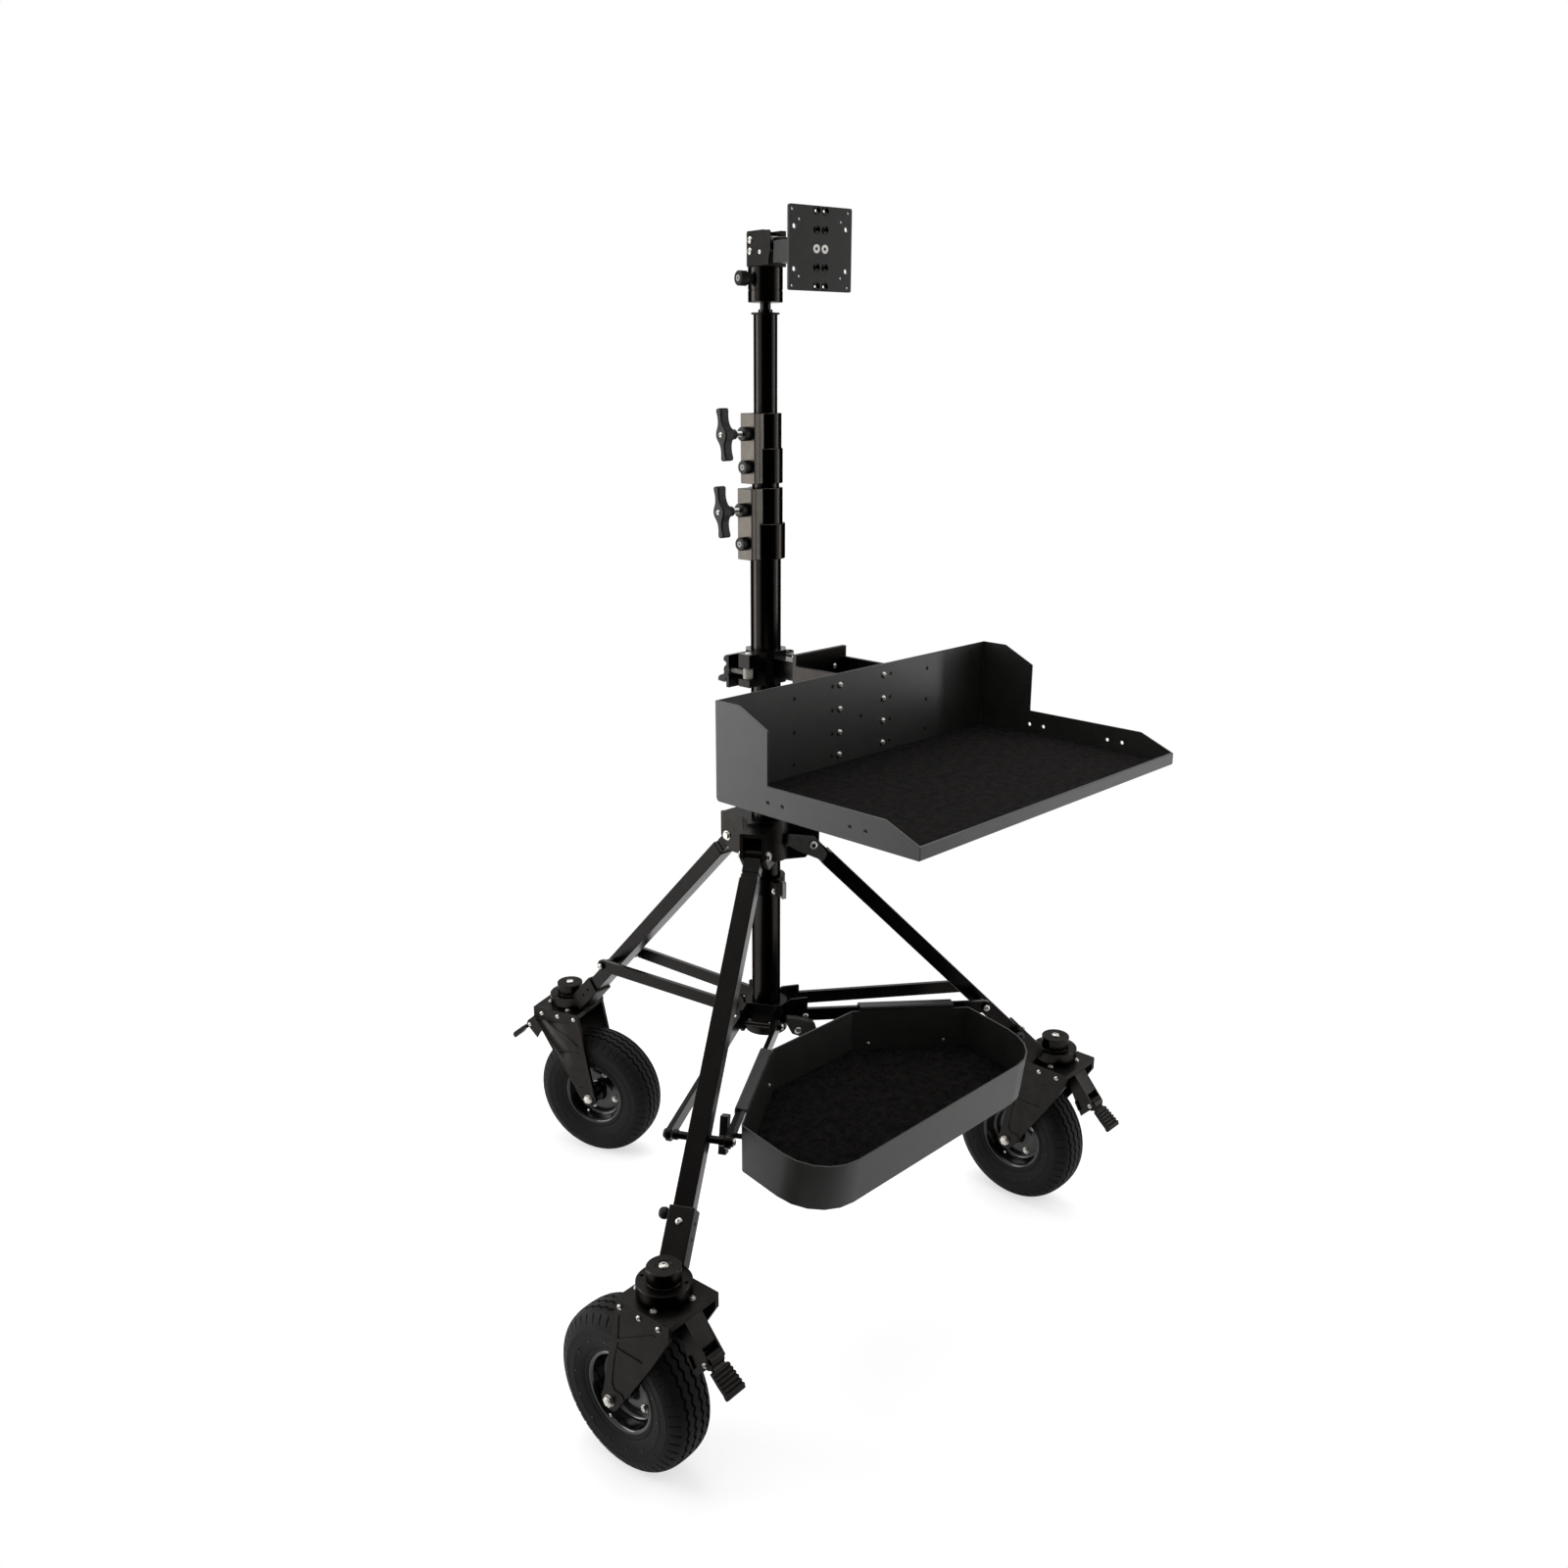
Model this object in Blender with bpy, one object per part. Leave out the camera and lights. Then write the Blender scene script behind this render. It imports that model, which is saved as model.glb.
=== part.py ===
"""Mobile workstation stand: a wheeled tripod with a three-part mast, two trays and a monitor plate.

Lengths are metres and +Z is up. The user stands on the -Y side. The mast runs up the Z axis of the
empty stand_origin, and every piece hangs from that empty.
"""
import bmesh
import bpy
import math
from mathutils import Matrix
from mathutils import Vector

# General
GAP = 0.0003
TURNED_SIDES = 24
SMALL_SIDES = 12
WHEEL_SIDES = 24
SMOOTH_ANGLE = math.radians(35)
MAST_Y = -0.065
# how far a cutter runs past the solid that it cuts, and how far joined shapes sink into each other
CUT_MARGIN = 0.010
OVERLAP = 0.001

# Mast tubes
COLUMN_RADIUS = 0.024
COLUMN_BORE_RADIUS = 0.0216
COLUMN_BOTTOM = 0.447
COLUMN_TOP = 1.309
MIDDLE_RADIUS = 0.021
MIDDLE_BORE_RADIUS = 0.0185
MIDDLE_BOTTOM = 0.620
MIDDLE_TOP = 1.422
TOP_TUBE_RADIUS = 0.018
TOP_TUBE_BORE_RADIUS = 0.0155
TOP_TUBE_BOTTOM = 0.760
TOP_TUBE_TOP = 1.616
TOP_TUBE_PLUG = 0.010
TOP_CAP_RADIUS = 0.0215
TOP_CAP_THICKNESS = 0.0025
SPIGOT_NECK_RADIUS = 0.0107
SPIGOT_NECK_HEIGHT = 0.0045
SPIGOT_RADIUS = 0.008
SPIGOT_TOP = 1.676

# Mast clamps and their screws
CLAMP_SOCKET_HEIGHT = 0.054
RISER_SOCKET_HEIGHT = 0.052
COLUMN_CLAMP_RADII = (0.0305, 0.0265)
RISER_CLAMP_RADII = (0.0265, 0.0245)
COLUMN_CLAMP_BLOCK = (-0.046, -0.018, 0.0155)
RISER_CLAMP_BLOCK = (-0.039, -0.018, 0.0153)
CLAMP_BOSS_RADIUS = 0.0105
CLAMP_BOSS_LENGTH = 0.013
COLUMN_HANDLE_Z = 1.331
RISER_HANDLE_Z = 1.444
COLUMN_SCREW_Z = 1.280
RISER_SCREW_Z = 1.395
HANDLE_STEM_RADIUS = 0.004
HANDLE_STEM_DEPTH = 0.012
HANDLE_THREAD_LENGTH = 0.014
HANDLE_CONE_LENGTH = 0.012
HANDLE_CONE_RADII = (0.007, 0.011)
HANDLE_BAR_THICKNESS = 0.0165
HANDLE_BAR_LENGTH = 0.077
HANDLE_BAR_END_WIDTH = 0.012
HANDLE_BAR_CENTRE_RADIUS = 0.012
HANDLE_BAR_NECK = 0.8
HANDLE_TILT = math.radians(8)
SCREW_HEAD_RADIUS = 0.01025
SCREW_HEAD_LENGTH = 0.011
SCREW_STEM_RADIUS = 0.003
SCREW_STEM_DEPTH = 0.010

# Head
HEAD_TURN = math.radians(-9)
SOCKET_RADIUS = 0.026
SOCKET_BOTTOM = 1.633
SOCKET_TOP = 1.682
SOCKET_KNOB_RADIUS = 0.01075
SOCKET_KNOB_LENGTH = 0.0235
SOCKET_KNOB_Z = 1.6655
BLOCK_TOP = 1.732
BLOCK_HALF_WIDTH = 0.022
BLOCK_BACK = 0.016
BLOCK_FRONT = -0.022
EAR_FRONT = -0.042
TILT_PIN_Y = -0.030
TILT_PIN_Z = 1.711
TILT_PIN_RADIUS = 0.004
TONGUE_HALF_WIDTH = 0.0125
TONGUE_RADIUS = 0.012
ARM_HALF_WIDTH = 0.019
ARM_NECK_REACH = 0.008
ARM_NECK_RISE = 0.8
ARM_BAR_EXTRA = 0.003
ARM_FLANGE_SIZE = (0.050, 0.060)
ARM_FLANGE_THICKNESS = 0.006
PLATE_FRONT = -0.125
PLATE_SIZE = 0.113
PLATE_THICKNESS = 0.004
PLATE_CORNER_RADIUS = 0.003
PLATE_CENTRE_Z = 1.700
PLATE_OFFSET_X = 0.005
VESA_SPACINGS = (0.100, 0.075)
VESA_HOLE_RADIUS = 0.00225

# Tray clamp on the column
CLAMP_BOTTOM = 1.059
CLAMP_TOP = 1.111
CLAMP_APOTHEM = 0.032
CLAMP_SPLIT = 0.0005
CLAMP_ARM_HALF_WIDTH = 0.014
CLAMP_ARM_HEIGHTS = (1.070, 1.100)
CLAMP_LUG_END = -0.063
CLAMP_LUG_DEPTHS = (-0.026, -0.002)
SWING_BOLT_X = -0.054
SWING_BOLT_Y = -0.014
SWING_BOLT_Z = 1.080
SWING_BOLT_RADIUS = 0.004
SWING_EYE_RADIUS = 0.008
SWING_EYE_HEIGHT = 0.0174
SWING_EYE_ROOM = 0.002
SWING_PIN_RADIUS = 0.003
CLAMP_FLANGE_END = -0.069
CLAMP_FLANGE_DEPTHS = (0.014, 0.020)
CLAMP_FLANGE_HEIGHTS = (1.055, 1.107)
CLAMP_FLANGE_SLOT_HALF = 0.0055
CLAMP_FLANGE_SLOT_END = -0.0485
WING_HUB_RADIUS = 0.008
# room for the tilted bolt when the clamp is opened a little
WING_BORE_GAP = 0.0007
WING_HUB_LENGTH = 0.0137
WING_SPAN = 0.042
WING_REACH = 0.024
WING_THICKNESS = 0.006
WING_TIP = 0.008
CLAMP_HINGE_X = 0.050
CLAMP_HINGE_PIN_RADIUS = 0.004
CLAMP_KNUCKLE_RADIUS = 0.008
CLAMP_KNUCKLE_HEIGHTS = (1.059, 1.068, 1.085, 1.094)
CLAMP_PIN_HEAD_RADIUS = 0.0105
CLAMP_PIN_HEAD_HEIGHT = 0.006

# Tray bracket
BRACKET_FRONT = -0.121
BRACKET_PLATE_THICKNESS = 0.008
BRACKET_HALF_WIDTH = 0.057
BRACKET_HEIGHTS = (1.067, 1.124)
BRACKET_SIDE_THICKNESS = 0.006
BRACKET_SIDE_TOP = 1.107
BRACKET_FOOT_INNER = 0.035
BRACKET_FOOT_OUTER = 0.062
BRACKET_FOOT_BOTTOM = 0.971
BRACKET_FOOT_THICKNESS = 0.0057

# Upper tray
TRAY_BACK = -0.205
TRAY_FRONT = -0.562
TRAY_HALF_WIDTH = 0.3045
TRAY_BOTTOM = 0.967
TRAY_LIP_TOP = 0.985
TRAY_SIDE_TOP = 1.008
TRAY_SIDE_RISE_Y = -0.506
TRAY_WING_Y = -0.304
TRAY_WING_TOP = 1.083
TRAY_BACK_CHAMFER_Y = -0.250
TRAY_BACK_TOP = 1.109
SHEET = 0.0025
LINER_THICKNESS = 0.002

# Legs and hubs, measured from the mast axis
LEG_AZIMUTHS = (math.radians(-150), math.radians(-30), math.radians(90))
LEG_HINGE_RADIUS = 0.071
LEG_HINGE_Z = 0.784
SWIVEL_RADIUS = 0.558
# height of a leg's centre line where it meets the swivel axis
LEG_Z_AT_SWIVEL = 0.2819
LEG_FALL = (LEG_HINGE_Z - LEG_Z_AT_SWIVEL) / (SWIVEL_RADIUS - LEG_HINGE_RADIUS)
SWIVEL_ON_LEG = math.hypot(SWIVEL_RADIUS - LEG_HINGE_RADIUS, LEG_HINGE_Z - LEG_Z_AT_SWIVEL)
LEG_HALF_THICKNESS = 0.013
LEG_HALF_WIDTH = 0.015
LEG_WALL = 0.0025
LEG_NECK_LENGTH = 0.045
LEG_NECK_HALF_THICKNESS = 0.0105
LEG_NECK_HALF_WIDTH = 0.0125
LEG_KNUCKLE_RADIUS = 0.014
LEG_END = SWIVEL_ON_LEG - 0.077
LEG_BORE_START = 0.095
HINGE_PIN_RADIUS = 0.004
PIN_END = 0.003
SPREADER_ON_LEG = 0.459
SPREADER_ROD_RADIUS = 0.006
# from an end of a leg's cross rod to the arm beside it, wide enough for the whole fold
SPREADER_ROD_GAP = 0.0014
UPPER_HUB_RADIUS = 0.039
UPPER_HUB_HEIGHTS = (0.761, 0.830)
EAR_ROOT = 0.026
UPPER_EAR_THICKNESS = 0.006
UPPER_EAR_END = 0.086
UPPER_EAR_CHAMFER_R = 0.062
UPPER_EAR_HEIGHTS = (0.758, 0.824)
UPPER_EAR_CHAMFER_Z = 0.782
UPPER_LEVER_REACH = 0.038
UPPER_LEVER_THICKNESS = 0.0095
UPPER_LEVER_HUB_RADIUS = 0.011
# around the hinge pin, counted outwards from the mast and up
UPPER_LEVER_OUTLINE = [(0.019, -0.030), (0.024, -0.016), (0.004, 0.013), (-0.042, 0.021), (-0.045, 0.004),
                       (-0.022, -0.010)]
LEVER_CORNER = 0.003
COLLAR_RADIUS = 0.032
COLLAR_HEIGHTS = (0.700, 0.728)
COLLAR_LUG_END = 0.046
COLLAR_AZIMUTH = math.radians(-105)
COLLAR_LUG_DEPTHS = (-0.009, 0.005)
COLLAR_PIN_R = 0.038
COLLAR_PIN_Z = 0.719
COLLAR_PIN_RADIUS = 0.003
COLLAR_LEVER_THICKNESS = 0.008
# the lever's top stays within the pin's distance from the ring, so that its lower end can swing out
COLLAR_LEVER_OUTLINE = [(-0.003, -0.022), (0.006, -0.024), (0.006, 0.0045), (0.001, 0.0055), (-0.004, 0.004)]

LOWER_HUB_RADIUS = 0.036
LOWER_HUB_HEIGHTS = (0.447, 0.498)
LOWER_EAR_INNER = 0.0235
LOWER_EAR_OUTER = 0.0290
LOWER_EAR_END = 0.066
LOWER_EAR_HEIGHTS = (0.462, 0.505)
LOWER_EAR_CHAMFER = 0.008
SPREADER_HUB_RADIUS = 0.058
SPREADER_HUB_Z = 0.478
SPREADER_HUB_OFFSET = 0.034
SPREADER_LEG_OFFSET = 0.045
SPREADER_HALF_THICKNESS = 0.004
SPREADER_HALF_HEIGHT = 0.011
SPREADER_BOLT_RADIUS = 0.0075
SPREADER_BOLT_HEAD = 0.004
LOWER_LEVER_R = 0.040
LOWER_LEVER_Z = 0.461
LOWER_LEVER_BOSS_RADIUS = 0.0075
LOWER_LEVER_DEPTHS = (-0.0570, -0.0435)
# around its stud, counted outwards from the mast and up
LOWER_LEVER_OUTLINE = [(0.016, -0.018), (0.036, -0.008), (0.030, 0.010), (0.004, 0.020), (-0.018, 0.025),
                       (-0.019, 0.014), (-0.010, -0.006)]

# Caster mount on each leg
SLEEVE_START = LEG_END - 0.0617
SLEEVE_END = SWIVEL_ON_LEG - 0.0595
SLEEVE_WALL = 0.0037
SLEEVE_FLOOR_Z = 0.3105
FLANGE_RADIUS = 0.040
FLANGE_HEIGHTS = (0.312, 0.336)
CAP_RADIUS = 0.025
CAP_TOP = 0.353
KINGPIN_RADIUS = 0.008
KINGPIN_TOP = 0.348
RELEASE_ON_LEG = SLEEVE_START + 0.0022
RELEASE_HEIGHT = 0.002
RELEASE_RADIUS = 0.009
RELEASE_LENGTH = 0.017
RELEASE_STEM_RADIUS = 0.003
# shares of the knob's radius and of its length, from its flat foot to its domed top
RELEASE_PROFILE = [(0.0, 0.0), (0.7, 0.0), (0.95, 0.18), (1.0, 0.41), (0.9, 0.76), (0.55, 1.0), (0.0, 1.0)]

# Caster, with +X along the trail of each swivel
TRAIL_AZIMUTHS = (math.radians(94.4), math.radians(91.0), math.radians(-70.0))
FORK_TOP = 0.308
FORK_TOP_THICKNESS = 0.010
FORK_HALF_WIDTH = 0.050
FORK_SIDE_THICKNESS = 0.007
FORK_BACK = -0.056
FORK_FRONT = 0.046
FORK_CHAMFER = 0.012
CHEEK_BACK = [(FORK_BACK, 0.285), (-0.020, 0.225)]
RACE_RADIUS = 0.028
TRAIL = 0.065
WHEEL_RADIUS = 0.1276
WHEEL_HALF_WIDTH = 0.040
FORK_END_RADIUS = 0.017
AXLE_RADIUS = 0.006
AXLE_NUT_RADIUS = 0.009
AXLE_HALF_LENGTH = 0.058
RIM_HUB_RADIUS = 0.016
RIM_BARREL_RADIUS = 0.066
RIM_WALL = 0.004
RIM_FLANGE_RADIUS = 0.072
RIM_HALF_WIDTH = 0.034
RIM_FLANGE_THICKNESS = 0.003
RIM_WEB_HALF_THICKNESS = 0.006
RIM_FILLET = 0.003
TYRE_MID_RADIUS = 0.098
TYRE_BEAD_RISE = 0.005
TYRE_SIDE_RISE = 0.014
TYRE_SIDE_INSET = 0.0015
TYRE_STEPS = 6
PEDAL_PIVOT_X = -0.090
PEDAL_PIVOT_Z = 0.246
PEDAL_PIN_RADIUS = 0.003
PEDAL_HUB_RADIUS = 0.006
PEDAL_HALF_WIDTH = 0.017
PEDAL_BRACKET_THICKNESS = 0.0035
PEDAL_LENGTH = 0.042
PEDAL_START = 0.013
PEDAL_THICKNESS = 0.004
PEDAL_SLOPE = math.radians(36)
PEDAL_LIP = (0.004, 0.006)
# side of the pedal's bracket, around the pedal's pin
BRACKET_AROUND_PIN = [(0.044, 0.059), (0.034, 0.050), (-0.008, 0.002), (0.0, -0.009), (0.016, -0.026),
                      (0.042, 0.022)]

# Lower tray, drawn in a plane that tips down towards the user
RIM_Z = 0.4947
RIM_FALL = 0.144
LOWER_TRAY_DEPTH = 0.076
TRAY_TO_ARM = 0.0063
TRAY_SIDE_R = 0.355
TRAY_BACK_R = 0.140
TRAY_FRONT_X = 0.279
TRAY_FRONT_Y = -0.388
TRAY_FRONT_CORNER = 0.080
TRAY_SMALL_CORNER = 0.008
LIP_R = (0.155, 0.326)
LIP_TOP = 0.0076
LIP_UNDER = 0.0050
LIP_ROOT = 0.008
LIP_INSET = 0.0004
HOOK_WIDTH = 0.0024
HOOK_DROP = 0.003
TAB_R = (0.215, 0.245)
TAB_DROP = 0.036
TRAY_KNOB_R = 0.347
TRAY_KNOB_T = (0.020, 0.032, 0.038)
TRAY_KNOB_Z = 0.439
TRAY_KNOB_LENGTH = 0.058
TRAY_KNOB_WIDTH = 0.016
TRAY_KNOB_HUB_RADIUS = 0.011
TRAY_KNOB_STEM_RADIUS = 0.004
TRAY_KNOB_TIP_GAP = 0.0008
TRAY_KNOB_TILT = math.radians(-14)


def clear_scene():
    """Remove every object of the open scene."""
    for item in list(bpy.data.objects):
        bpy.data.objects.remove(item, do_unlink=True)


def make_material(name, colour, roughness, metallic):
    """One Principled material in the colour of the part."""
    material = bpy.data.materials.new(name)
    material.use_nodes = True
    shader = material.node_tree.nodes["Principled BSDF"]
    shader.inputs["Base Color"].default_value = (*colour, 1.0)
    shader.inputs["Roughness"].default_value = roughness
    shader.inputs["Metallic"].default_value = metallic
    material.diffuse_color = (*colour, 1.0)
    return material


BLACK_COAT = ((0.012, 0.012, 0.013), 0.45, 0.0)
GLOSS_BLACK = ((0.008, 0.008, 0.009), 0.2, 0.0)
STEEL = ((0.55, 0.55, 0.57), 0.3, 1.0)
BLACK_PLASTIC = ((0.015, 0.015, 0.015), 0.5, 0.0)
RUBBER = ((0.02, 0.02, 0.02), 0.8, 0.0)
GREY_METAL = ((0.35, 0.35, 0.37), 0.4, 1.0)
FELT = ((0.01, 0.01, 0.01), 0.95, 0.0)


def finish_mesh(bm):
    """Turn a bmesh into a mesh whose faces point out."""
    bmesh.ops.recalc_face_normals(bm, faces=bm.faces)
    mesh = bpy.data.meshes.new("shape")
    bm.to_mesh(mesh)
    bm.free()
    return mesh


def spatial(a, b, along, axis):
    """Point of an outline pair at a distance along the axis that the outline is drawn across."""
    points = {"X": (along, a, b), "Y": (a, along, b), "Z": (a, b, along)}
    return points[axis]


def prism(outline, low, high, axis="Z"):
    """Extrude a flat outline along an axis. The outline holds (y, z), (x, z) or (x, y) pairs."""
    bm = bmesh.new()
    corners = [bm.verts.new(spatial(a, b, low, axis)) for a, b in outline]
    face = bm.faces.new(corners)
    raised = bmesh.ops.extrude_face_region(bm, geom=[face])
    moved_verts = [item for item in raised["geom"] if isinstance(item, bmesh.types.BMVert)]
    bmesh.ops.translate(bm, verts=moved_verts, vec=spatial(0.0, 0.0, high - low, axis))
    return finish_mesh(bm)


def box(low, high):
    """A box between two opposite corners."""
    outline = [(low[0], low[1]), (high[0], low[1]), (high[0], high[1]), (low[0], high[1])]
    return prism(outline, low[2], high[2])


def circle_points(radius, sides, centre=(0.0, 0.0)):
    """Points of a circle, as an outline for prism."""
    angles = [2.0 * math.pi * index / sides for index in range(sides)]
    return [(centre[0] + radius * math.cos(a), centre[1] + radius * math.sin(a)) for a in angles]


def rod(radius, low, high, axis="Z", centre=(0.0, 0.0), sides=SMALL_SIDES):
    """A round bar along an axis. The centre is given like an outline point."""
    return prism(circle_points(radius, sides, centre), low, high, axis)


def turned(profile, sides=TURNED_SIDES):
    """Spin a profile of (radius, height) pairs around the Z axis."""
    bm = bmesh.new()
    points = [bm.verts.new((radius, 0.0, height)) for radius, height in profile]
    edges = []
    for first, second in zip(points, points[1:] + points[:1]):
        if first.co.x > 0.0 or second.co.x > 0.0:
            edges.append(bm.edges.new((first, second)))
    bmesh.ops.spin(bm, geom=points + edges, cent=(0, 0, 0), axis=(0, 0, 1), angle=2.0 * math.pi, steps=sides)
    bmesh.ops.remove_doubles(bm, verts=bm.verts, dist=1e-6)
    bmesh.ops.dissolve_degenerate(bm, edges=bm.edges, dist=1e-7)
    return finish_mesh(bm)


def moved(mesh, matrix):
    """Move a mesh and hand it back."""
    mesh.transform(matrix)
    return mesh


def shift(x=0.0, y=0.0, z=0.0):
    """A plain translation."""
    return Matrix.Translation((x, y, z))


def turn(angle, axis):
    """A plain rotation about an axis through the origin."""
    return Matrix.Rotation(angle, 4, axis)


def boolean(base, others, operation):
    """Join to or cut from a solid, with exact Booleans run one after the other."""
    holder = bpy.data.objects.new("boolean_base", base)
    bpy.context.scene.collection.objects.link(holder)
    helpers = []
    for other in others:
        helper = bpy.data.objects.new("boolean_tool", other)
        bpy.context.scene.collection.objects.link(helper)
        modifier = holder.modifiers.new("shape", "BOOLEAN")
        modifier.operation = operation
        modifier.solver = "EXACT"
        modifier.object = helper
        helpers.append(helper)
    bpy.context.view_layer.update()
    evaluated = holder.evaluated_get(bpy.context.evaluated_depsgraph_get())
    result = bpy.data.meshes.new_from_object(evaluated)
    for item in [holder, *helpers]:
        bpy.data.objects.remove(item, do_unlink=True)
    return result


def join(base, *others):
    """Union of solids that meet."""
    return boolean(base, others, "UNION")


def cut(base, *others):
    """The first solid without the others."""
    return boolean(base, others, "DIFFERENCE")


def empty(name, parent, matrix):
    """A named frame that pieces hang from."""
    frame = bpy.data.objects.new(name, None)
    bpy.context.scene.collection.objects.link(frame)
    frame.parent = parent
    frame.matrix_local = matrix
    return frame


def piece(name, mesh, finish, parent):
    """Put a finished solid into the scene as a named sub-part."""
    item = bpy.data.objects.new(name, mesh)
    bpy.context.scene.collection.objects.link(item)
    item.parent = parent
    mesh.name = name
    mesh.materials.clear()
    mesh.materials.append(make_material(name, *finish))
    mesh.shade_smooth()
    mesh.set_sharp_from_angle(angle=SMOOTH_ANGLE)
    return item


def offset_polygon(points, distance):
    """Move every side of a counter-clockwise polygon inwards by one distance."""
    result = []
    count = len(points)
    for index, corner in enumerate(points):
        before = Vector(points[index - 1])
        here = Vector(corner)
        after = Vector(points[(index + 1) % count])
        side_in = (here - before).normalized()
        side_out = (after - here).normalized()
        normal_in = Vector((-side_in.y, side_in.x))
        normal_out = Vector((-side_out.y, side_out.x))
        spread = 1.0 + normal_in.dot(normal_out)
        result.append(tuple(here + (normal_in + normal_out) * (distance / spread)))
    return result


def rounded_polygon(points, radii, steps=5):
    """Replace each corner of a polygon by an arc that touches both sides."""
    result = []
    count = len(points)
    for index, corner in enumerate(points):
        here = Vector(corner)
        to_before = (Vector(points[index - 1]) - here).normalized()
        to_after = (Vector(points[(index + 1) % count]) - here).normalized()
        half = to_before.angle(to_after) / 2.0
        middle = (to_before + to_after).normalized()
        centre = here + middle * (radii[index] / math.sin(half))
        start = here + to_before * (radii[index] / math.tan(half)) - centre
        end = here + to_after * (radii[index] / math.tan(half)) - centre
        swing = math.atan2(start.x * end.y - start.y * end.x, start.dot(end))
        for step in range(steps + 1):
            angle = swing * step / steps
            turned_x = start.x * math.cos(angle) - start.y * math.sin(angle)
            turned_y = start.x * math.sin(angle) + start.y * math.cos(angle)
            result.append((centre.x + turned_x, centre.y + turned_y))
    return result


def bore_along_mast(radius, low, high):
    """A cutter for the round hole that the mast passes through."""
    return rod(radius, low - 0.01, high + 0.01, sides=TURNED_SIDES)


# Mast

def build_tubes(root):
    """The three telescoping tubes, the last one with its cap and spigot."""
    column = turned([
        (COLUMN_BORE_RADIUS, COLUMN_BOTTOM), (COLUMN_RADIUS, COLUMN_BOTTOM),
        (COLUMN_RADIUS, COLUMN_TOP - GAP), (COLUMN_BORE_RADIUS, COLUMN_TOP - GAP)])
    piece("column_tube", column, BLACK_COAT, root)
    middle = turned([
        (MIDDLE_BORE_RADIUS, MIDDLE_BOTTOM), (MIDDLE_RADIUS, MIDDLE_BOTTOM),
        (MIDDLE_RADIUS, MIDDLE_TOP - GAP), (MIDDLE_BORE_RADIUS, MIDDLE_TOP - GAP)])
    piece("middle_tube", middle, BLACK_COAT, root)
    cap_top = TOP_TUBE_TOP + TOP_CAP_THICKNESS
    neck_top = cap_top + SPIGOT_NECK_HEIGHT
    plug = TOP_TUBE_TOP - TOP_TUBE_PLUG
    top = turned([
        (TOP_TUBE_BORE_RADIUS, TOP_TUBE_BOTTOM), (TOP_TUBE_RADIUS, TOP_TUBE_BOTTOM),
        (TOP_TUBE_RADIUS, TOP_TUBE_TOP), (TOP_CAP_RADIUS, TOP_TUBE_TOP), (TOP_CAP_RADIUS, cap_top),
        (SPIGOT_NECK_RADIUS, cap_top), (SPIGOT_NECK_RADIUS, neck_top), (SPIGOT_RADIUS, neck_top),
        (SPIGOT_RADIUS, SPIGOT_TOP), (0.0, SPIGOT_TOP), (0.0, plug), (TOP_TUBE_BORE_RADIUS, plug)])
    piece("top_tube", top, BLACK_COAT, root)


def clamp_body(joint_z, heights, radii, bores, block, handle_z, screw_z):
    """A stepped ring with a block on its side, bored for the clamp screw and the small screw."""
    low = joint_z - heights
    high = joint_z + heights
    ring = turned([
        (bores[0], low), (radii[0], low), (radii[0], joint_z), (radii[1], joint_z),
        (radii[1], high), (bores[1], high), (bores[1], joint_z), (bores[0], joint_z)])
    block_end, block_start, half_width = block
    side = box((block_end, -half_width, low), (block_start, half_width, high))
    side = cut(side, rod(bores[0] + OVERLAP, low - CUT_MARGIN, high + CUT_MARGIN, sides=TURNED_SIDES))
    boss_end = block_end - CLAMP_BOSS_LENGTH
    boss = rod(CLAMP_BOSS_RADIUS, boss_end, block_end + 0.004, "X", (0.0, handle_z))
    body = join(ring, side, boss)
    stem_end = block_end + HANDLE_STEM_DEPTH + GAP
    stem_hole = rod(HANDLE_STEM_RADIUS + GAP, boss_end - CUT_MARGIN, stem_end, "X", (0.0, handle_z))
    screw_end = block_end + SCREW_STEM_DEPTH + GAP
    screw_hole = rod(SCREW_STEM_RADIUS + GAP, block_end - CUT_MARGIN, screw_end, "X", (0.0, screw_z))
    return cut(body, stem_hole, screw_hole)


def clamp_handle(block_end):
    """T-shaped screw handle, drawn along X and centred on its own axis."""
    boss_end = block_end - CLAMP_BOSS_LENGTH
    cone_start = boss_end - HANDLE_THREAD_LENGTH
    bar_start = cone_start - HANDLE_CONE_LENGTH
    bar_end = bar_start - HANDLE_BAR_THICKNESS
    stem = rod(HANDLE_STEM_RADIUS, cone_start - OVERLAP, block_end + HANDLE_STEM_DEPTH, "X")
    cone = turned([(0.0, bar_start - OVERLAP), (HANDLE_CONE_RADII[1], bar_start - OVERLAP),
                   (HANDLE_CONE_RADII[0], cone_start), (0.0, cone_start)], SMALL_SIDES)
    cone = moved(cone, turn(math.radians(90), "Y"))
    half = HANDLE_BAR_LENGTH / 2.0
    end = HANDLE_BAR_END_WIDTH / 2.0
    narrow = end * HANDLE_BAR_NECK
    waist = HANDLE_BAR_CENTRE_RADIUS
    corner = half - end + narrow / 2.0
    right = [(narrow, -half), (end, -corner), (narrow, -waist), (waist, 0.0), (narrow, waist), (end, corner),
             (narrow, half)]
    left = [(-across, -along) for across, along in right]
    bar = moved(prism(right + left, bar_end, bar_start, "X"), turn(HANDLE_TILT, "X"))
    return join(bar, cone, stem)


def knurled_screw(block_end):
    """Small round screw along X, centred on its own axis."""
    face = block_end - GAP
    head = rod(SCREW_HEAD_RADIUS, face - SCREW_HEAD_LENGTH, face, "X", sides=SMALL_SIDES + 4)
    stem = rod(SCREW_STEM_RADIUS, face - 2.0 * OVERLAP, block_end + SCREW_STEM_DEPTH, "X")
    return join(head, stem)


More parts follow.
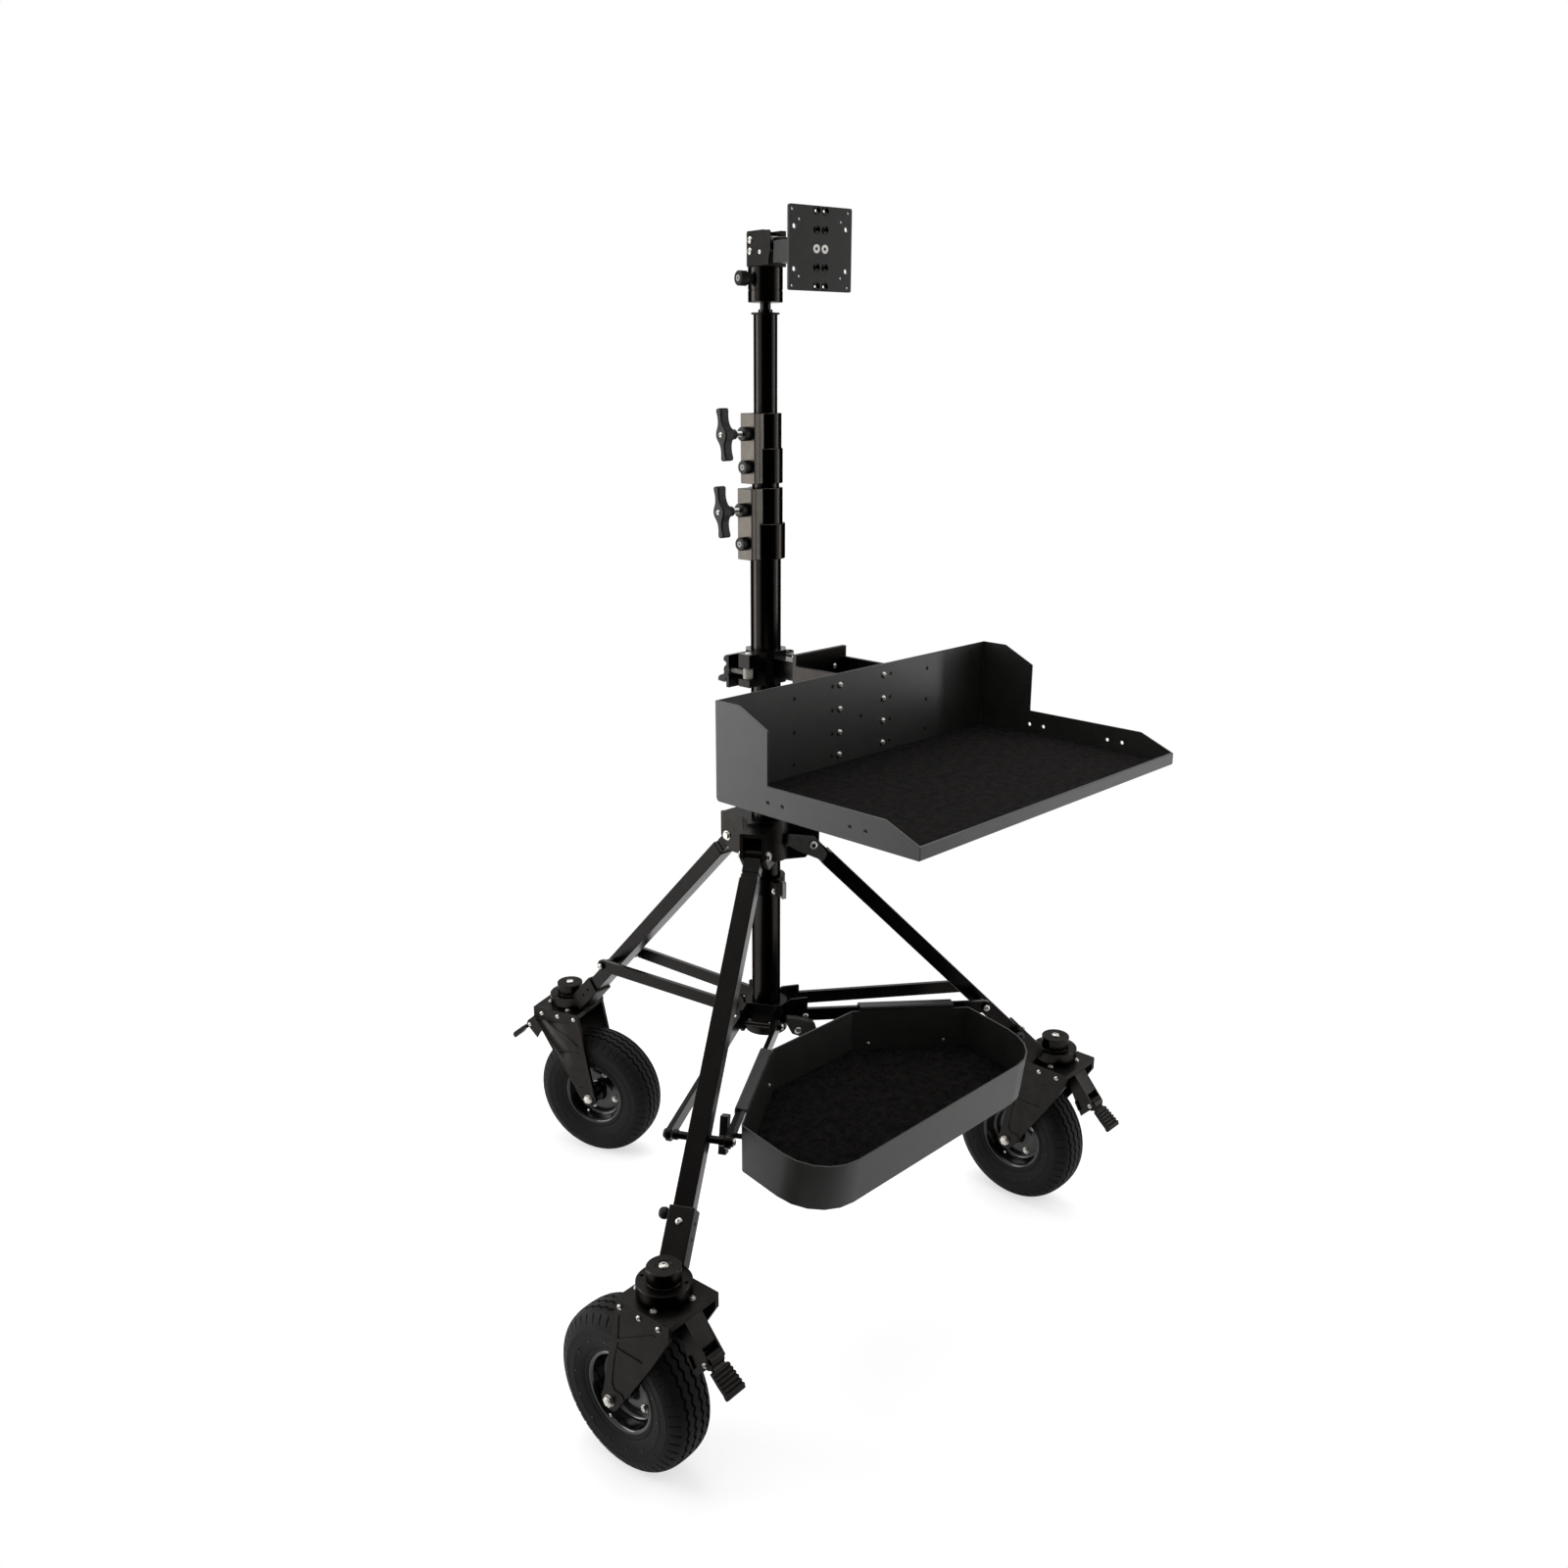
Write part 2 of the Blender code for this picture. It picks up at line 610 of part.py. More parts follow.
def build_mast_clamps(root):
    """Both mast clamps with their handles and small screws."""
    column_bores = (COLUMN_RADIUS + GAP, MIDDLE_RADIUS + GAP)
    riser_bores = (MIDDLE_RADIUS + GAP, TOP_TUBE_RADIUS + GAP)
    rows = (
        ("column_clamp", COLUMN_TOP, CLAMP_SOCKET_HEIGHT, COLUMN_CLAMP_RADII, column_bores,
         COLUMN_CLAMP_BLOCK, COLUMN_HANDLE_Z, COLUMN_SCREW_Z),
        ("riser_clamp", MIDDLE_TOP, RISER_SOCKET_HEIGHT, RISER_CLAMP_RADII, riser_bores,
         RISER_CLAMP_BLOCK, RISER_HANDLE_Z, RISER_SCREW_Z))
    for name, joint_z, height, radii, bores, block, handle_z, screw_z in rows:
        piece(name, clamp_body(joint_z, height, radii, bores, block, handle_z, screw_z), BLACK_COAT, root)
        handle_axis = empty(name + "_handle_axis", root, shift(0.0, 0.0, handle_z))
        piece(name + "_handle", clamp_handle(block[0]), BLACK_PLASTIC, handle_axis)
        screw_axis = empty(name + "_screw_axis", root, shift(0.0, 0.0, screw_z))
        piece(name + "_screw", knurled_screw(block[0]), BLACK_PLASTIC, screw_axis)


# Head

def build_head(root):
    """Socket, its knob, the tilt block, the tilting arm and the monitor plate."""
    head = empty("head_axis", root, turn(HEAD_TURN, "Z"))
    bore = SPIGOT_RADIUS + GAP
    bore_top = SPIGOT_TOP + GAP
    socket = turned([
        (bore, SOCKET_BOTTOM), (SOCKET_RADIUS, SOCKET_BOTTOM), (SOCKET_RADIUS, SOCKET_TOP),
        (0.0, SOCKET_TOP), (0.0, bore_top), (bore, bore_top)])
    stem_radius = SCREW_STEM_RADIUS
    hole_start = -SOCKET_RADIUS - CUT_MARGIN
    stem_hole = rod(stem_radius + GAP, hole_start, -SPIGOT_RADIUS / 2.0, "X", (0.0, SOCKET_KNOB_Z))
    socket = cut(socket, stem_hole)
    piece("head_socket", socket, GLOSS_BLACK, head)

    knob_axis = empty("socket_knob_axis", head, shift(0.0, 0.0, SOCKET_KNOB_Z))
    knob_face = -SOCKET_RADIUS - GAP
    knob = rod(SOCKET_KNOB_RADIUS, knob_face - SOCKET_KNOB_LENGTH, knob_face, "X", sides=SMALL_SIDES + 4)
    knob = join(knob, rod(stem_radius, knob_face - 2.0 * OVERLAP, -SPIGOT_RADIUS - 2.0 * GAP, "X"))
    piece("socket_knob", knob, BLACK_PLASTIC, knob_axis)

    piece("tilt_block", tilt_block(), BLACK_COAT, head)
    tilt_axis = empty("tilt_axis", head, shift(0.0, TILT_PIN_Y, TILT_PIN_Z))
    to_pin = shift(0.0, -TILT_PIN_Y, -TILT_PIN_Z)
    piece("tilt_arm", moved(tilt_arm(), to_pin), BLACK_COAT, tilt_axis)
    piece("monitor_plate", moved(monitor_plate(), to_pin), BLACK_COAT, tilt_axis)


def tilt_block():
    """Block on the socket with two ears and the pin between them."""
    bottom = SOCKET_TOP + GAP
    half = BLOCK_HALF_WIDTH
    ear_radius = TILT_PIN_Y - EAR_FRONT
    base = box((-half, BLOCK_FRONT, bottom), (half, BLOCK_BACK, BLOCK_TOP))
    steps = 8
    outline = [(BLOCK_FRONT + 2.0 * OVERLAP, TILT_PIN_Z - ear_radius)]
    for step in range(steps + 1):
        angle = math.radians(-90) - math.pi * step / steps
        outline.append((TILT_PIN_Y + ear_radius * math.cos(angle), TILT_PIN_Z + ear_radius * math.sin(angle)))
    outline.append((BLOCK_FRONT + 2.0 * OVERLAP, TILT_PIN_Z + ear_radius))
    slot_half = TONGUE_HALF_WIDTH + GAP
    ears = [prism(outline, slot_half, half, "X"), prism(outline, -half, -slot_half, "X")]
    pin = rod(TILT_PIN_RADIUS, -half + OVERLAP, half - OVERLAP, "X", (TILT_PIN_Y, TILT_PIN_Z))
    relief_radius = TONGUE_RADIUS + 2.0 * GAP
    relief = rod(relief_radius, -slot_half, slot_half, "X", (TILT_PIN_Y, TILT_PIN_Z), TURNED_SIDES)
    return join(cut(base, relief), *ears, pin)


def tilt_arm():
    """Tongue around the tilt pin, a bar forwards and a flange behind the monitor plate."""
    flange_front = PLATE_FRONT + PLATE_THICKNESS + GAP
    flange_back = flange_front + ARM_FLANGE_THICKNESS
    tongue_half = TONGUE_HALF_WIDTH
    tongue = rod(TONGUE_RADIUS, -tongue_half, tongue_half, "X", (TILT_PIN_Y, TILT_PIN_Z), TURNED_SIDES)
    neck = box((-tongue_half, EAR_FRONT - ARM_NECK_REACH, TILT_PIN_Z - TONGUE_RADIUS),
               (tongue_half, TILT_PIN_Y, TILT_PIN_Z + TONGUE_RADIUS * ARM_NECK_RISE))
    bar_height = TONGUE_RADIUS + ARM_BAR_EXTRA
    bar = box((-ARM_HALF_WIDTH, flange_back - OVERLAP, PLATE_CENTRE_Z - bar_height),
              (ARM_HALF_WIDTH, EAR_FRONT - ARM_BAR_EXTRA, PLATE_CENTRE_Z + bar_height))
    width, height = ARM_FLANGE_SIZE
    centre = PLATE_OFFSET_X
    flange = box((centre - width / 2.0, flange_front, PLATE_CENTRE_Z - height / 2.0),
                 (centre + width / 2.0, flange_back, PLATE_CENTRE_Z + height / 2.0))
    bore = rod(TILT_PIN_RADIUS + GAP, -2.0 * tongue_half, 2.0 * tongue_half, "X", (TILT_PIN_Y, TILT_PIN_Z))
    return cut(join(tongue, neck, bar, flange), bore)


def monitor_plate():
    """Square plate with both usual screw patterns of a monitor."""
    half = PLATE_SIZE / 2.0
    low_z = PLATE_CENTRE_Z - half
    high_z = PLATE_CENTRE_Z + half
    left = PLATE_OFFSET_X - half
    right = PLATE_OFFSET_X + half
    corners = [(left, low_z), (right, low_z), (right, high_z), (left, high_z)]
    outline = rounded_polygon(corners, [PLATE_CORNER_RADIUS] * 4, 2)
    plate = prism(outline, PLATE_FRONT, PLATE_FRONT + PLATE_THICKNESS, "Y")
    hole_ends = (PLATE_FRONT - CUT_MARGIN, PLATE_FRONT + CUT_MARGIN)
    holes = []
    for spacing in VESA_SPACINGS:
        for side in (-0.5, 0.5):
            for level in (-0.5, 0.5):
                centre = (PLATE_OFFSET_X + side * spacing, PLATE_CENTRE_Z + level * spacing)
                holes.append(rod(VESA_HOLE_RADIUS, *hole_ends, "Y", centre, 8))
    return cut(plate, *holes)


# Tray clamp, bracket and upper tray

def octagon():
    """Outline of the tray clamp, seen from above."""
    radius = CLAMP_APOTHEM / math.cos(math.radians(22.5))
    angles = [math.radians(22.5 + 45.0 * index) for index in range(8)]
    return [(radius * math.cos(a), radius * math.sin(a)) for a in angles]


def clamp_half(side):
    """Half of the octagonal ring: side is -1 for the front and +1 for the back."""
    ring = prism(octagon(), CLAMP_BOTTOM, CLAMP_TOP)
    wide = 2.0 * CLAMP_APOTHEM
    if side < 0:
        away = box((-wide, -CLAMP_SPLIT, CLAMP_BOTTOM - CUT_MARGIN), (wide, wide, CLAMP_TOP + CUT_MARGIN))
    else:
        away = box((-wide, -wide, CLAMP_BOTTOM - CUT_MARGIN), (wide, CLAMP_SPLIT, CLAMP_TOP + CUT_MARGIN))
    return cut(ring, away)


def knuckle(side, low, high):
    """One hinge knuckle of a clamp half, with the web that carries it."""
    web = box((CLAMP_APOTHEM - 4.0 * OVERLAP, min(side * CLAMP_SPLIT, side * CLAMP_KNUCKLE_RADIUS), low),
              (CLAMP_HINGE_X, max(side * CLAMP_SPLIT, side * CLAMP_KNUCKLE_RADIUS), high))
    return join(rod(CLAMP_KNUCKLE_RADIUS, low, high, centre=(CLAMP_HINGE_X, 0.0)), web)


def clamp_front():
    """Front half with the arm to the bracket, the lug of the swing bolt and the hinge pin."""
    lows = CLAMP_KNUCKLE_HEIGHTS
    arm = box((-CLAMP_ARM_HALF_WIDTH, BRACKET_FRONT + BRACKET_PLATE_THICKNESS + GAP, CLAMP_ARM_HEIGHTS[0]),
              (CLAMP_ARM_HALF_WIDTH, -CLAMP_APOTHEM + 4.0 * OVERLAP, CLAMP_ARM_HEIGHTS[1]))
    lug_root = -CLAMP_APOTHEM + 6.0 * OVERLAP
    lug = box((CLAMP_LUG_END, CLAMP_LUG_DEPTHS[0], CLAMP_BOTTOM), (lug_root, CLAMP_LUG_DEPTHS[1], CLAMP_TOP))
    slot_half = SWING_EYE_HEIGHT / 2.0 + GAP
    slot_end = SWING_BOLT_X + SWING_EYE_RADIUS + SWING_EYE_ROOM
    slot = box((CLAMP_LUG_END - CUT_MARGIN, CLAMP_LUG_DEPTHS[0] - CUT_MARGIN, SWING_BOLT_Z - slot_half),
               (slot_end, CLAMP_LUG_DEPTHS[1] + CUT_MARGIN, SWING_BOLT_Z + slot_half))
    body = join(clamp_half(-1), arm, lug)
    body = cut(body, slot, bore_along_mast(COLUMN_RADIUS + GAP, CLAMP_BOTTOM, CLAMP_TOP))
    swing_ends = (CLAMP_BOTTOM + 4.0 * OVERLAP, CLAMP_TOP - 4.0 * OVERLAP)
    swing_pin = rod(SWING_PIN_RADIUS, *swing_ends, centre=(SWING_BOLT_X, SWING_BOLT_Y))
    hinge_top = lows[3] + CLAMP_PIN_HEAD_HEIGHT
    hinge = (CLAMP_HINGE_X, 0.0)
    hinge_pin = rod(CLAMP_HINGE_PIN_RADIUS, lows[0] + OVERLAP, hinge_top - OVERLAP, centre=hinge)
    head_low = lows[3] - OVERLAP / 2.0
    pin_head = rod(CLAMP_PIN_HEAD_RADIUS, head_low, hinge_top, centre=hinge, sides=SMALL_SIDES + 4)
    knuckles = (knuckle(-1, lows[0], lows[1]), knuckle(-1, lows[2], lows[3]))
    return join(body, *knuckles, swing_pin, hinge_pin, pin_head)


def clamp_back():
    """Back half with the slotted flange and the middle knuckle."""
    lows = CLAMP_KNUCKLE_HEIGHTS
    flange = box((CLAMP_FLANGE_END, CLAMP_FLANGE_DEPTHS[0], CLAMP_FLANGE_HEIGHTS[0]),
                 (-CLAMP_APOTHEM / 2.0, CLAMP_FLANGE_DEPTHS[1], CLAMP_FLANGE_HEIGHTS[1]))
    slot_half = CLAMP_FLANGE_SLOT_HALF
    slot = box((CLAMP_FLANGE_END - CUT_MARGIN, CLAMP_FLANGE_DEPTHS[0] - CUT_MARGIN, SWING_BOLT_Z - slot_half),
               (CLAMP_FLANGE_SLOT_END, CLAMP_FLANGE_DEPTHS[1] + CUT_MARGIN, SWING_BOLT_Z + slot_half))
    body = join(clamp_half(1), flange, knuckle(1, lows[1] + GAP, lows[2] - GAP))
    pin_hole = rod(CLAMP_HINGE_PIN_RADIUS + GAP, lows[0], lows[3], centre=(CLAMP_HINGE_X, 0.0))
    return cut(body, slot, pin_hole, bore_along_mast(COLUMN_RADIUS + GAP, CLAMP_FLANGE_HEIGHTS[0], CLAMP_TOP))


def build_tray_clamp(root):
    """Both clamp halves, the swing bolt and its wing nut."""
    piece("tray_clamp_front", clamp_front(), BLACK_COAT, root)
    back_axis = empty("tray_clamp_back_axis", root, shift(CLAMP_HINGE_X))
    piece("tray_clamp_back", moved(clamp_back(), shift(-CLAMP_HINGE_X)), BLACK_COAT, back_axis)

    bolt_axis = empty("swing_bolt_axis", root, shift(SWING_BOLT_X, SWING_BOLT_Y, SWING_BOLT_Z))
    seat = CLAMP_FLANGE_DEPTHS[1] - SWING_BOLT_Y + GAP
    bolt_end = seat + WING_HUB_LENGTH - 2.0 * OVERLAP
    eye = rod(SWING_EYE_RADIUS, -SWING_EYE_HEIGHT / 2.0, SWING_EYE_HEIGHT / 2.0)
    shank = rod(SWING_BOLT_RADIUS, 0.0, bolt_end, "Y")
    pin_hole = rod(SWING_PIN_RADIUS + GAP, -0.02, 0.02)
    piece("tray_clamp_bolt", cut(join(eye, shank), pin_hole), STEEL, bolt_axis)

    hub = rod(WING_HUB_RADIUS, seat, seat + WING_HUB_LENGTH, "Y")
    half_span = WING_SPAN / 2.0
    wing_end = seat + WING_REACH
    hub_end = seat + WING_HUB_LENGTH
    foot = seat + 2.0 * OVERLAP
    right = [(half_span * 0.3, foot), (half_span, wing_end - WING_TIP), (half_span, wing_end),
             (half_span * 0.6, wing_end), (half_span * 0.2, hub_end)]
    left = [(-x, y) for x, y in reversed(right)]
    wings = prism(right + left, -WING_THICKNESS / 2.0, WING_THICKNESS / 2.0)
    hole = rod(SWING_BOLT_RADIUS + WING_BORE_GAP, 0.0, bolt_end + GAP, "Y")
    piece("tray_clamp_wing_nut", cut(join(hub, wings), hole), BLACK_PLASTIC, bolt_axis)


def build_bracket(root):
    """Angle bracket between the clamp arm and the back of the upper tray."""
    plate_back = BRACKET_FRONT + BRACKET_PLATE_THICKNESS
    foot_back = TRAY_BACK + GAP + BRACKET_FOOT_THICKNESS
    half = BRACKET_HALF_WIDTH
    shapes = []
    for side in (-1, 1):
        inner = half - BRACKET_SIDE_THICKNESS
        front = BRACKET_FRONT + 2.0 * OVERLAP
        back = foot_back - 2.0 * OVERLAP
        outline = [(front, BRACKET_HEIGHTS[0]), (front, BRACKET_SIDE_TOP), (back, BRACKET_SIDE_TOP),
                   (back, BRACKET_FOOT_BOTTOM)]
        shapes.append(prism(outline, min(side * inner, side * half), max(side * inner, side * half), "X"))
        feet = sorted((side * BRACKET_FOOT_INNER, side * BRACKET_FOOT_OUTER))
        foot = box((feet[0], TRAY_BACK + GAP, BRACKET_FOOT_BOTTOM), (feet[1], foot_back, BRACKET_SIDE_TOP))
        shapes.append(foot)
    plate = box((-half, BRACKET_FRONT, BRACKET_HEIGHTS[0]), (half, plate_back, BRACKET_HEIGHTS[1]))
    piece("tray_bracket", join(plate, *shapes), BLACK_COAT, root)


def build_upper_tray(root):
    """Open sheet tray with raised side wings, and the felt on its floor."""
    outline = [(TRAY_BACK, TRAY_BOTTOM), (TRAY_FRONT, TRAY_BOTTOM), (TRAY_FRONT, TRAY_LIP_TOP),
               (TRAY_SIDE_RISE_Y, TRAY_SIDE_TOP), (TRAY_WING_Y, TRAY_SIDE_TOP), (TRAY_WING_Y, TRAY_WING_TOP),
               (TRAY_BACK_CHAMFER_Y, TRAY_BACK_TOP), (TRAY_BACK, TRAY_BACK_TOP)]
    solid = prism(outline, -TRAY_HALF_WIDTH, TRAY_HALF_WIDTH, "X")
    floor = TRAY_BOTTOM + SHEET
    inner_half = TRAY_HALF_WIDTH - SHEET
    above = TRAY_BACK_TOP + CUT_MARGIN
    inside = box((-inner_half, TRAY_FRONT + SHEET, floor), (inner_half, TRAY_BACK - SHEET, above))
    piece("upper_tray", cut(solid, inside), BLACK_COAT, root)
    liner_half = inner_half - GAP
    liner = box((-liner_half, TRAY_FRONT + SHEET + GAP, floor + GAP),
                (liner_half, TRAY_BACK - SHEET - GAP, floor + GAP + LINER_THICKNESS))
    piece("upper_tray_liner", liner, FELT, root)


# Tripod

SLOPE = math.atan(LEG_FALL)
ALONG_LEG = turn(SLOPE, "Y")


def on_leg(along):
    """Radius and height of a point on a leg's centre line, this far from its hinge."""
    return LEG_HINGE_RADIUS + along * math.cos(SLOPE), LEG_HINGE_Z - along * math.sin(SLOPE)


SPREADER_LEG_R, SPREADER_LEG_Z = on_leg(SPREADER_ON_LEG)
SPREADER_RUN = SPREADER_LEG_R - SPREADER_HUB_RADIUS
SPREADER_SPLAY = math.atan((SPREADER_LEG_OFFSET - SPREADER_HUB_OFFSET) / SPREADER_RUN)
SPREADER_DROP = SPREADER_HUB_Z - SPREADER_LEG_Z
SPREADER_SLOPE = math.atan(SPREADER_DROP / SPREADER_RUN)
SPREADER_LENGTH = math.hypot(SPREADER_RUN, SPREADER_DROP, SPREADER_LEG_OFFSET - SPREADER_HUB_OFFSET)


def build_upper_hub(root):
    """Ring on the column with a pair of ears and a pin for each leg."""
    low, high = UPPER_HUB_HEIGHTS
    hub = rod(UPPER_HUB_RADIUS, low, high, sides=TURNED_SIDES)
    inner = LEG_HALF_WIDTH + 2.0 * GAP
    outer = inner + UPPER_EAR_THICKNESS
    ear_low, ear_high = UPPER_EAR_HEIGHTS
    outline = [(EAR_ROOT, ear_low), (UPPER_EAR_CHAMFER_R, ear_low), (UPPER_EAR_END, UPPER_EAR_CHAMFER_Z),
               (UPPER_EAR_END, ear_high), (EAR_ROOT, ear_high)]
    shapes = []
    for index, azimuth in enumerate(LEG_AZIMUTHS):
        for side in (-1, 1):
            ear = prism(outline, min(side * inner, side * outer), max(side * inner, side * outer), "Y")
            shapes.append(moved(ear, turn(azimuth, "Z")))
        near = -UPPER_LEVER_REACH if index == 1 else -outer
        ends = sorted((near - PIN_END, outer + PIN_END))
        pin = rod(HINGE_PIN_RADIUS, ends[0], ends[1], "Y", (LEG_HINGE_RADIUS, LEG_HINGE_Z))
        shapes.append(moved(pin, turn(azimuth, "Z")))
    hub = cut(join(hub, *shapes), bore_along_mast(COLUMN_RADIUS + GAP, low, high))
    piece("upper_hub", hub, BLACK_COAT, root)


def build_upper_lever(root):
    """Locking lever on the hinge pin of the right front leg."""
    place = turn(LEG_AZIMUTHS[1], "Z") @ shift(LEG_HINGE_RADIUS, 0.0, LEG_HINGE_Z)
    axis = empty("upper_hub_lever_axis", root, place)
    face = LEG_HALF_WIDTH + 2.0 * GAP + UPPER_EAR_THICKNESS + GAP
    reach = UPPER_LEVER_REACH
    outline = rounded_polygon(UPPER_LEVER_OUTLINE, [LEVER_CORNER + OVERLAP] * len(UPPER_LEVER_OUTLINE), 2)
    blade = prism(outline, -reach, -reach + UPPER_LEVER_THICKNESS, "Y")
    hub = rod(UPPER_LEVER_HUB_RADIUS, -reach + OVERLAP, -face, "Y")
    bore = rod(HINGE_PIN_RADIUS + GAP, -reach - CUT_MARGIN, 0.0, "Y")
    piece("upper_hub_lever", cut(join(blade, hub), bore), BLACK_PLASTIC, axis)


def build_collar(root):
    """Split collar below the upper hub, with a small lever on its lug."""
    low, high = COLLAR_HEIGHTS
    frame = empty("collar_frame", root, turn(COLLAR_AZIMUTH, "Z"))
    ring = rod(COLLAR_RADIUS, low, high, sides=TURNED_SIDES)
    inset = 2.0 * OVERLAP
    lug = box((COLUMN_RADIUS + inset, COLLAR_LUG_DEPTHS[0], low + inset),
              (COLLAR_LUG_END, COLLAR_LUG_DEPTHS[1], high - inset))
    ring = cut(join(ring, lug), bore_along_mast(COLUMN_RADIUS + GAP, low, high))
    lever_near = COLLAR_LUG_DEPTHS[1] + GAP
    lever_far = lever_near + COLLAR_LEVER_THICKNESS
    pin = rod(COLLAR_PIN_RADIUS, 0.0, lever_far - OVERLAP / 2.0, "Y", (COLLAR_PIN_R, COLLAR_PIN_Z))
    piece("column_collar", join(ring, pin), BLACK_COAT, frame)
    axis = empty("collar_lever_axis", frame, shift(COLLAR_PIN_R, 0.0, COLLAR_PIN_Z))
    lever = prism(COLLAR_LEVER_OUTLINE, lever_near, lever_far, "Y")
    bore = rod(COLLAR_PIN_RADIUS + GAP, 0.0, lever_far + CUT_MARGIN, "Y")
    piece("collar_lever", cut(lever, bore), GREY_METAL, axis)


def build_lower_hub(root):
    """Sliding hub that carries the inner ends of the spreader arms, with its lever."""
    low, high = LOWER_HUB_HEIGHTS
    hub = rod(LOWER_HUB_RADIUS, low, high, sides=TURNED_SIDES)
    ear_low, ear_high = LOWER_EAR_HEIGHTS
    chamfer = LOWER_EAR_CHAMFER
    outline = [(EAR_ROOT, ear_low), (LOWER_EAR_END - chamfer, ear_low), (LOWER_EAR_END, ear_low + chamfer),
               (LOWER_EAR_END, ear_high), (LOWER_HUB_RADIUS, ear_high), (EAR_ROOT, ear_high - chamfer)]
    head_start = SPREADER_HUB_OFFSET + SPREADER_HALF_THICKNESS + 2.0 * GAP
    head_end = head_start + SPREADER_BOLT_HEAD
    pivot = (SPREADER_HUB_RADIUS, SPREADER_HUB_Z)
    shapes = []
    for azimuth in LEG_AZIMUTHS:
        parts = []
        for side in (-1, 1):
            ear_near, ear_far = sorted((side * LOWER_EAR_INNER, side * LOWER_EAR_OUTER))
            parts.append(prism(outline, ear_near, ear_far, "Y"))
            head_low, head_high = sorted((side * head_start, side * head_end))
            parts.append(rod(SPREADER_BOLT_RADIUS, head_low, head_high, "Y", pivot))
        parts.append(rod(HINGE_PIN_RADIUS, -head_end + OVERLAP, head_end - OVERLAP, "Y", pivot))
        shapes += [moved(part, turn(azimuth, "Z")) for part in parts]
    near, far = -LOWER_EAR_INNER - OVERLAP, LOWER_LEVER_DEPTHS[1] + GAP
    lever_pivot = (LOWER_LEVER_R, LOWER_LEVER_Z)
    boss = rod(LOWER_LEVER_BOSS_RADIUS, far, near, "Y", lever_pivot)
    stud = rod(HINGE_PIN_RADIUS, LOWER_LEVER_DEPTHS[0] + OVERLAP, near, "Y", lever_pivot)
    shapes += [moved(part, turn(LEG_AZIMUTHS[1], "Z")) for part in (boss, stud)]
    hub = cut(join(hub, *shapes), bore_along_mast(COLUMN_RADIUS + GAP, low, high))
    piece("lower_hub", hub, BLACK_COAT, root)

    place = turn(LEG_AZIMUTHS[1], "Z") @ shift(LOWER_LEVER_R, 0.0, LOWER_LEVER_Z)
    axis = empty("lower_hub_lever_axis", root, place)
    outline = rounded_polygon(LOWER_LEVER_OUTLINE, [LEVER_CORNER] * len(LOWER_LEVER_OUTLINE), 2)
    lever = prism(outline, LOWER_LEVER_DEPTHS[0], LOWER_LEVER_DEPTHS[1], "Y")
    bore = rod(HINGE_PIN_RADIUS + GAP, LOWER_LEVER_DEPTHS[0] - CUT_MARGIN, 0.0, "Y")
    piece("lower_hub_lever", cut(lever, bore), BLACK_PLASTIC, axis)


def leg_tube():
    """Square tube with a narrow neck, a hinge knuckle and the rod of the spreader arms."""
    half_t = LEG_HALF_WIDTH
    half_n = LEG_HALF_THICKNESS
    main = box((LEG_NECK_LENGTH, -half_t, -half_n), (LEG_END, half_t, half_n))
    hollow = box((LEG_BORE_START, -half_t + LEG_WALL, -half_n + LEG_WALL),
                 (LEG_END + CUT_MARGIN, half_t - LEG_WALL, half_n - LEG_WALL))
    neck = box((0.0, -LEG_NECK_HALF_WIDTH, -LEG_NECK_HALF_THICKNESS),
               (LEG_NECK_LENGTH + 2.0 * OVERLAP, LEG_NECK_HALF_WIDTH, LEG_NECK_HALF_THICKNESS))
    knuckle_part = rod(LEG_KNUCKLE_RADIUS, -half_t, half_t, "Y", sides=SMALL_SIDES + 4)
    reach = SPREADER_LEG_OFFSET - SPREADER_HALF_THICKNESS - SPREADER_ROD_GAP
    cross_rod = rod(SPREADER_ROD_RADIUS, -reach, reach, "Y", (SPREADER_ON_LEG, 0.0))
    bore = rod(HINGE_PIN_RADIUS + GAP, -half_t - CUT_MARGIN, half_t + CUT_MARGIN, "Y")
    body = cut(join(cut(main, hollow), neck, knuckle_part, cross_rod), bore)
    return moved(body, ALONG_LEG)


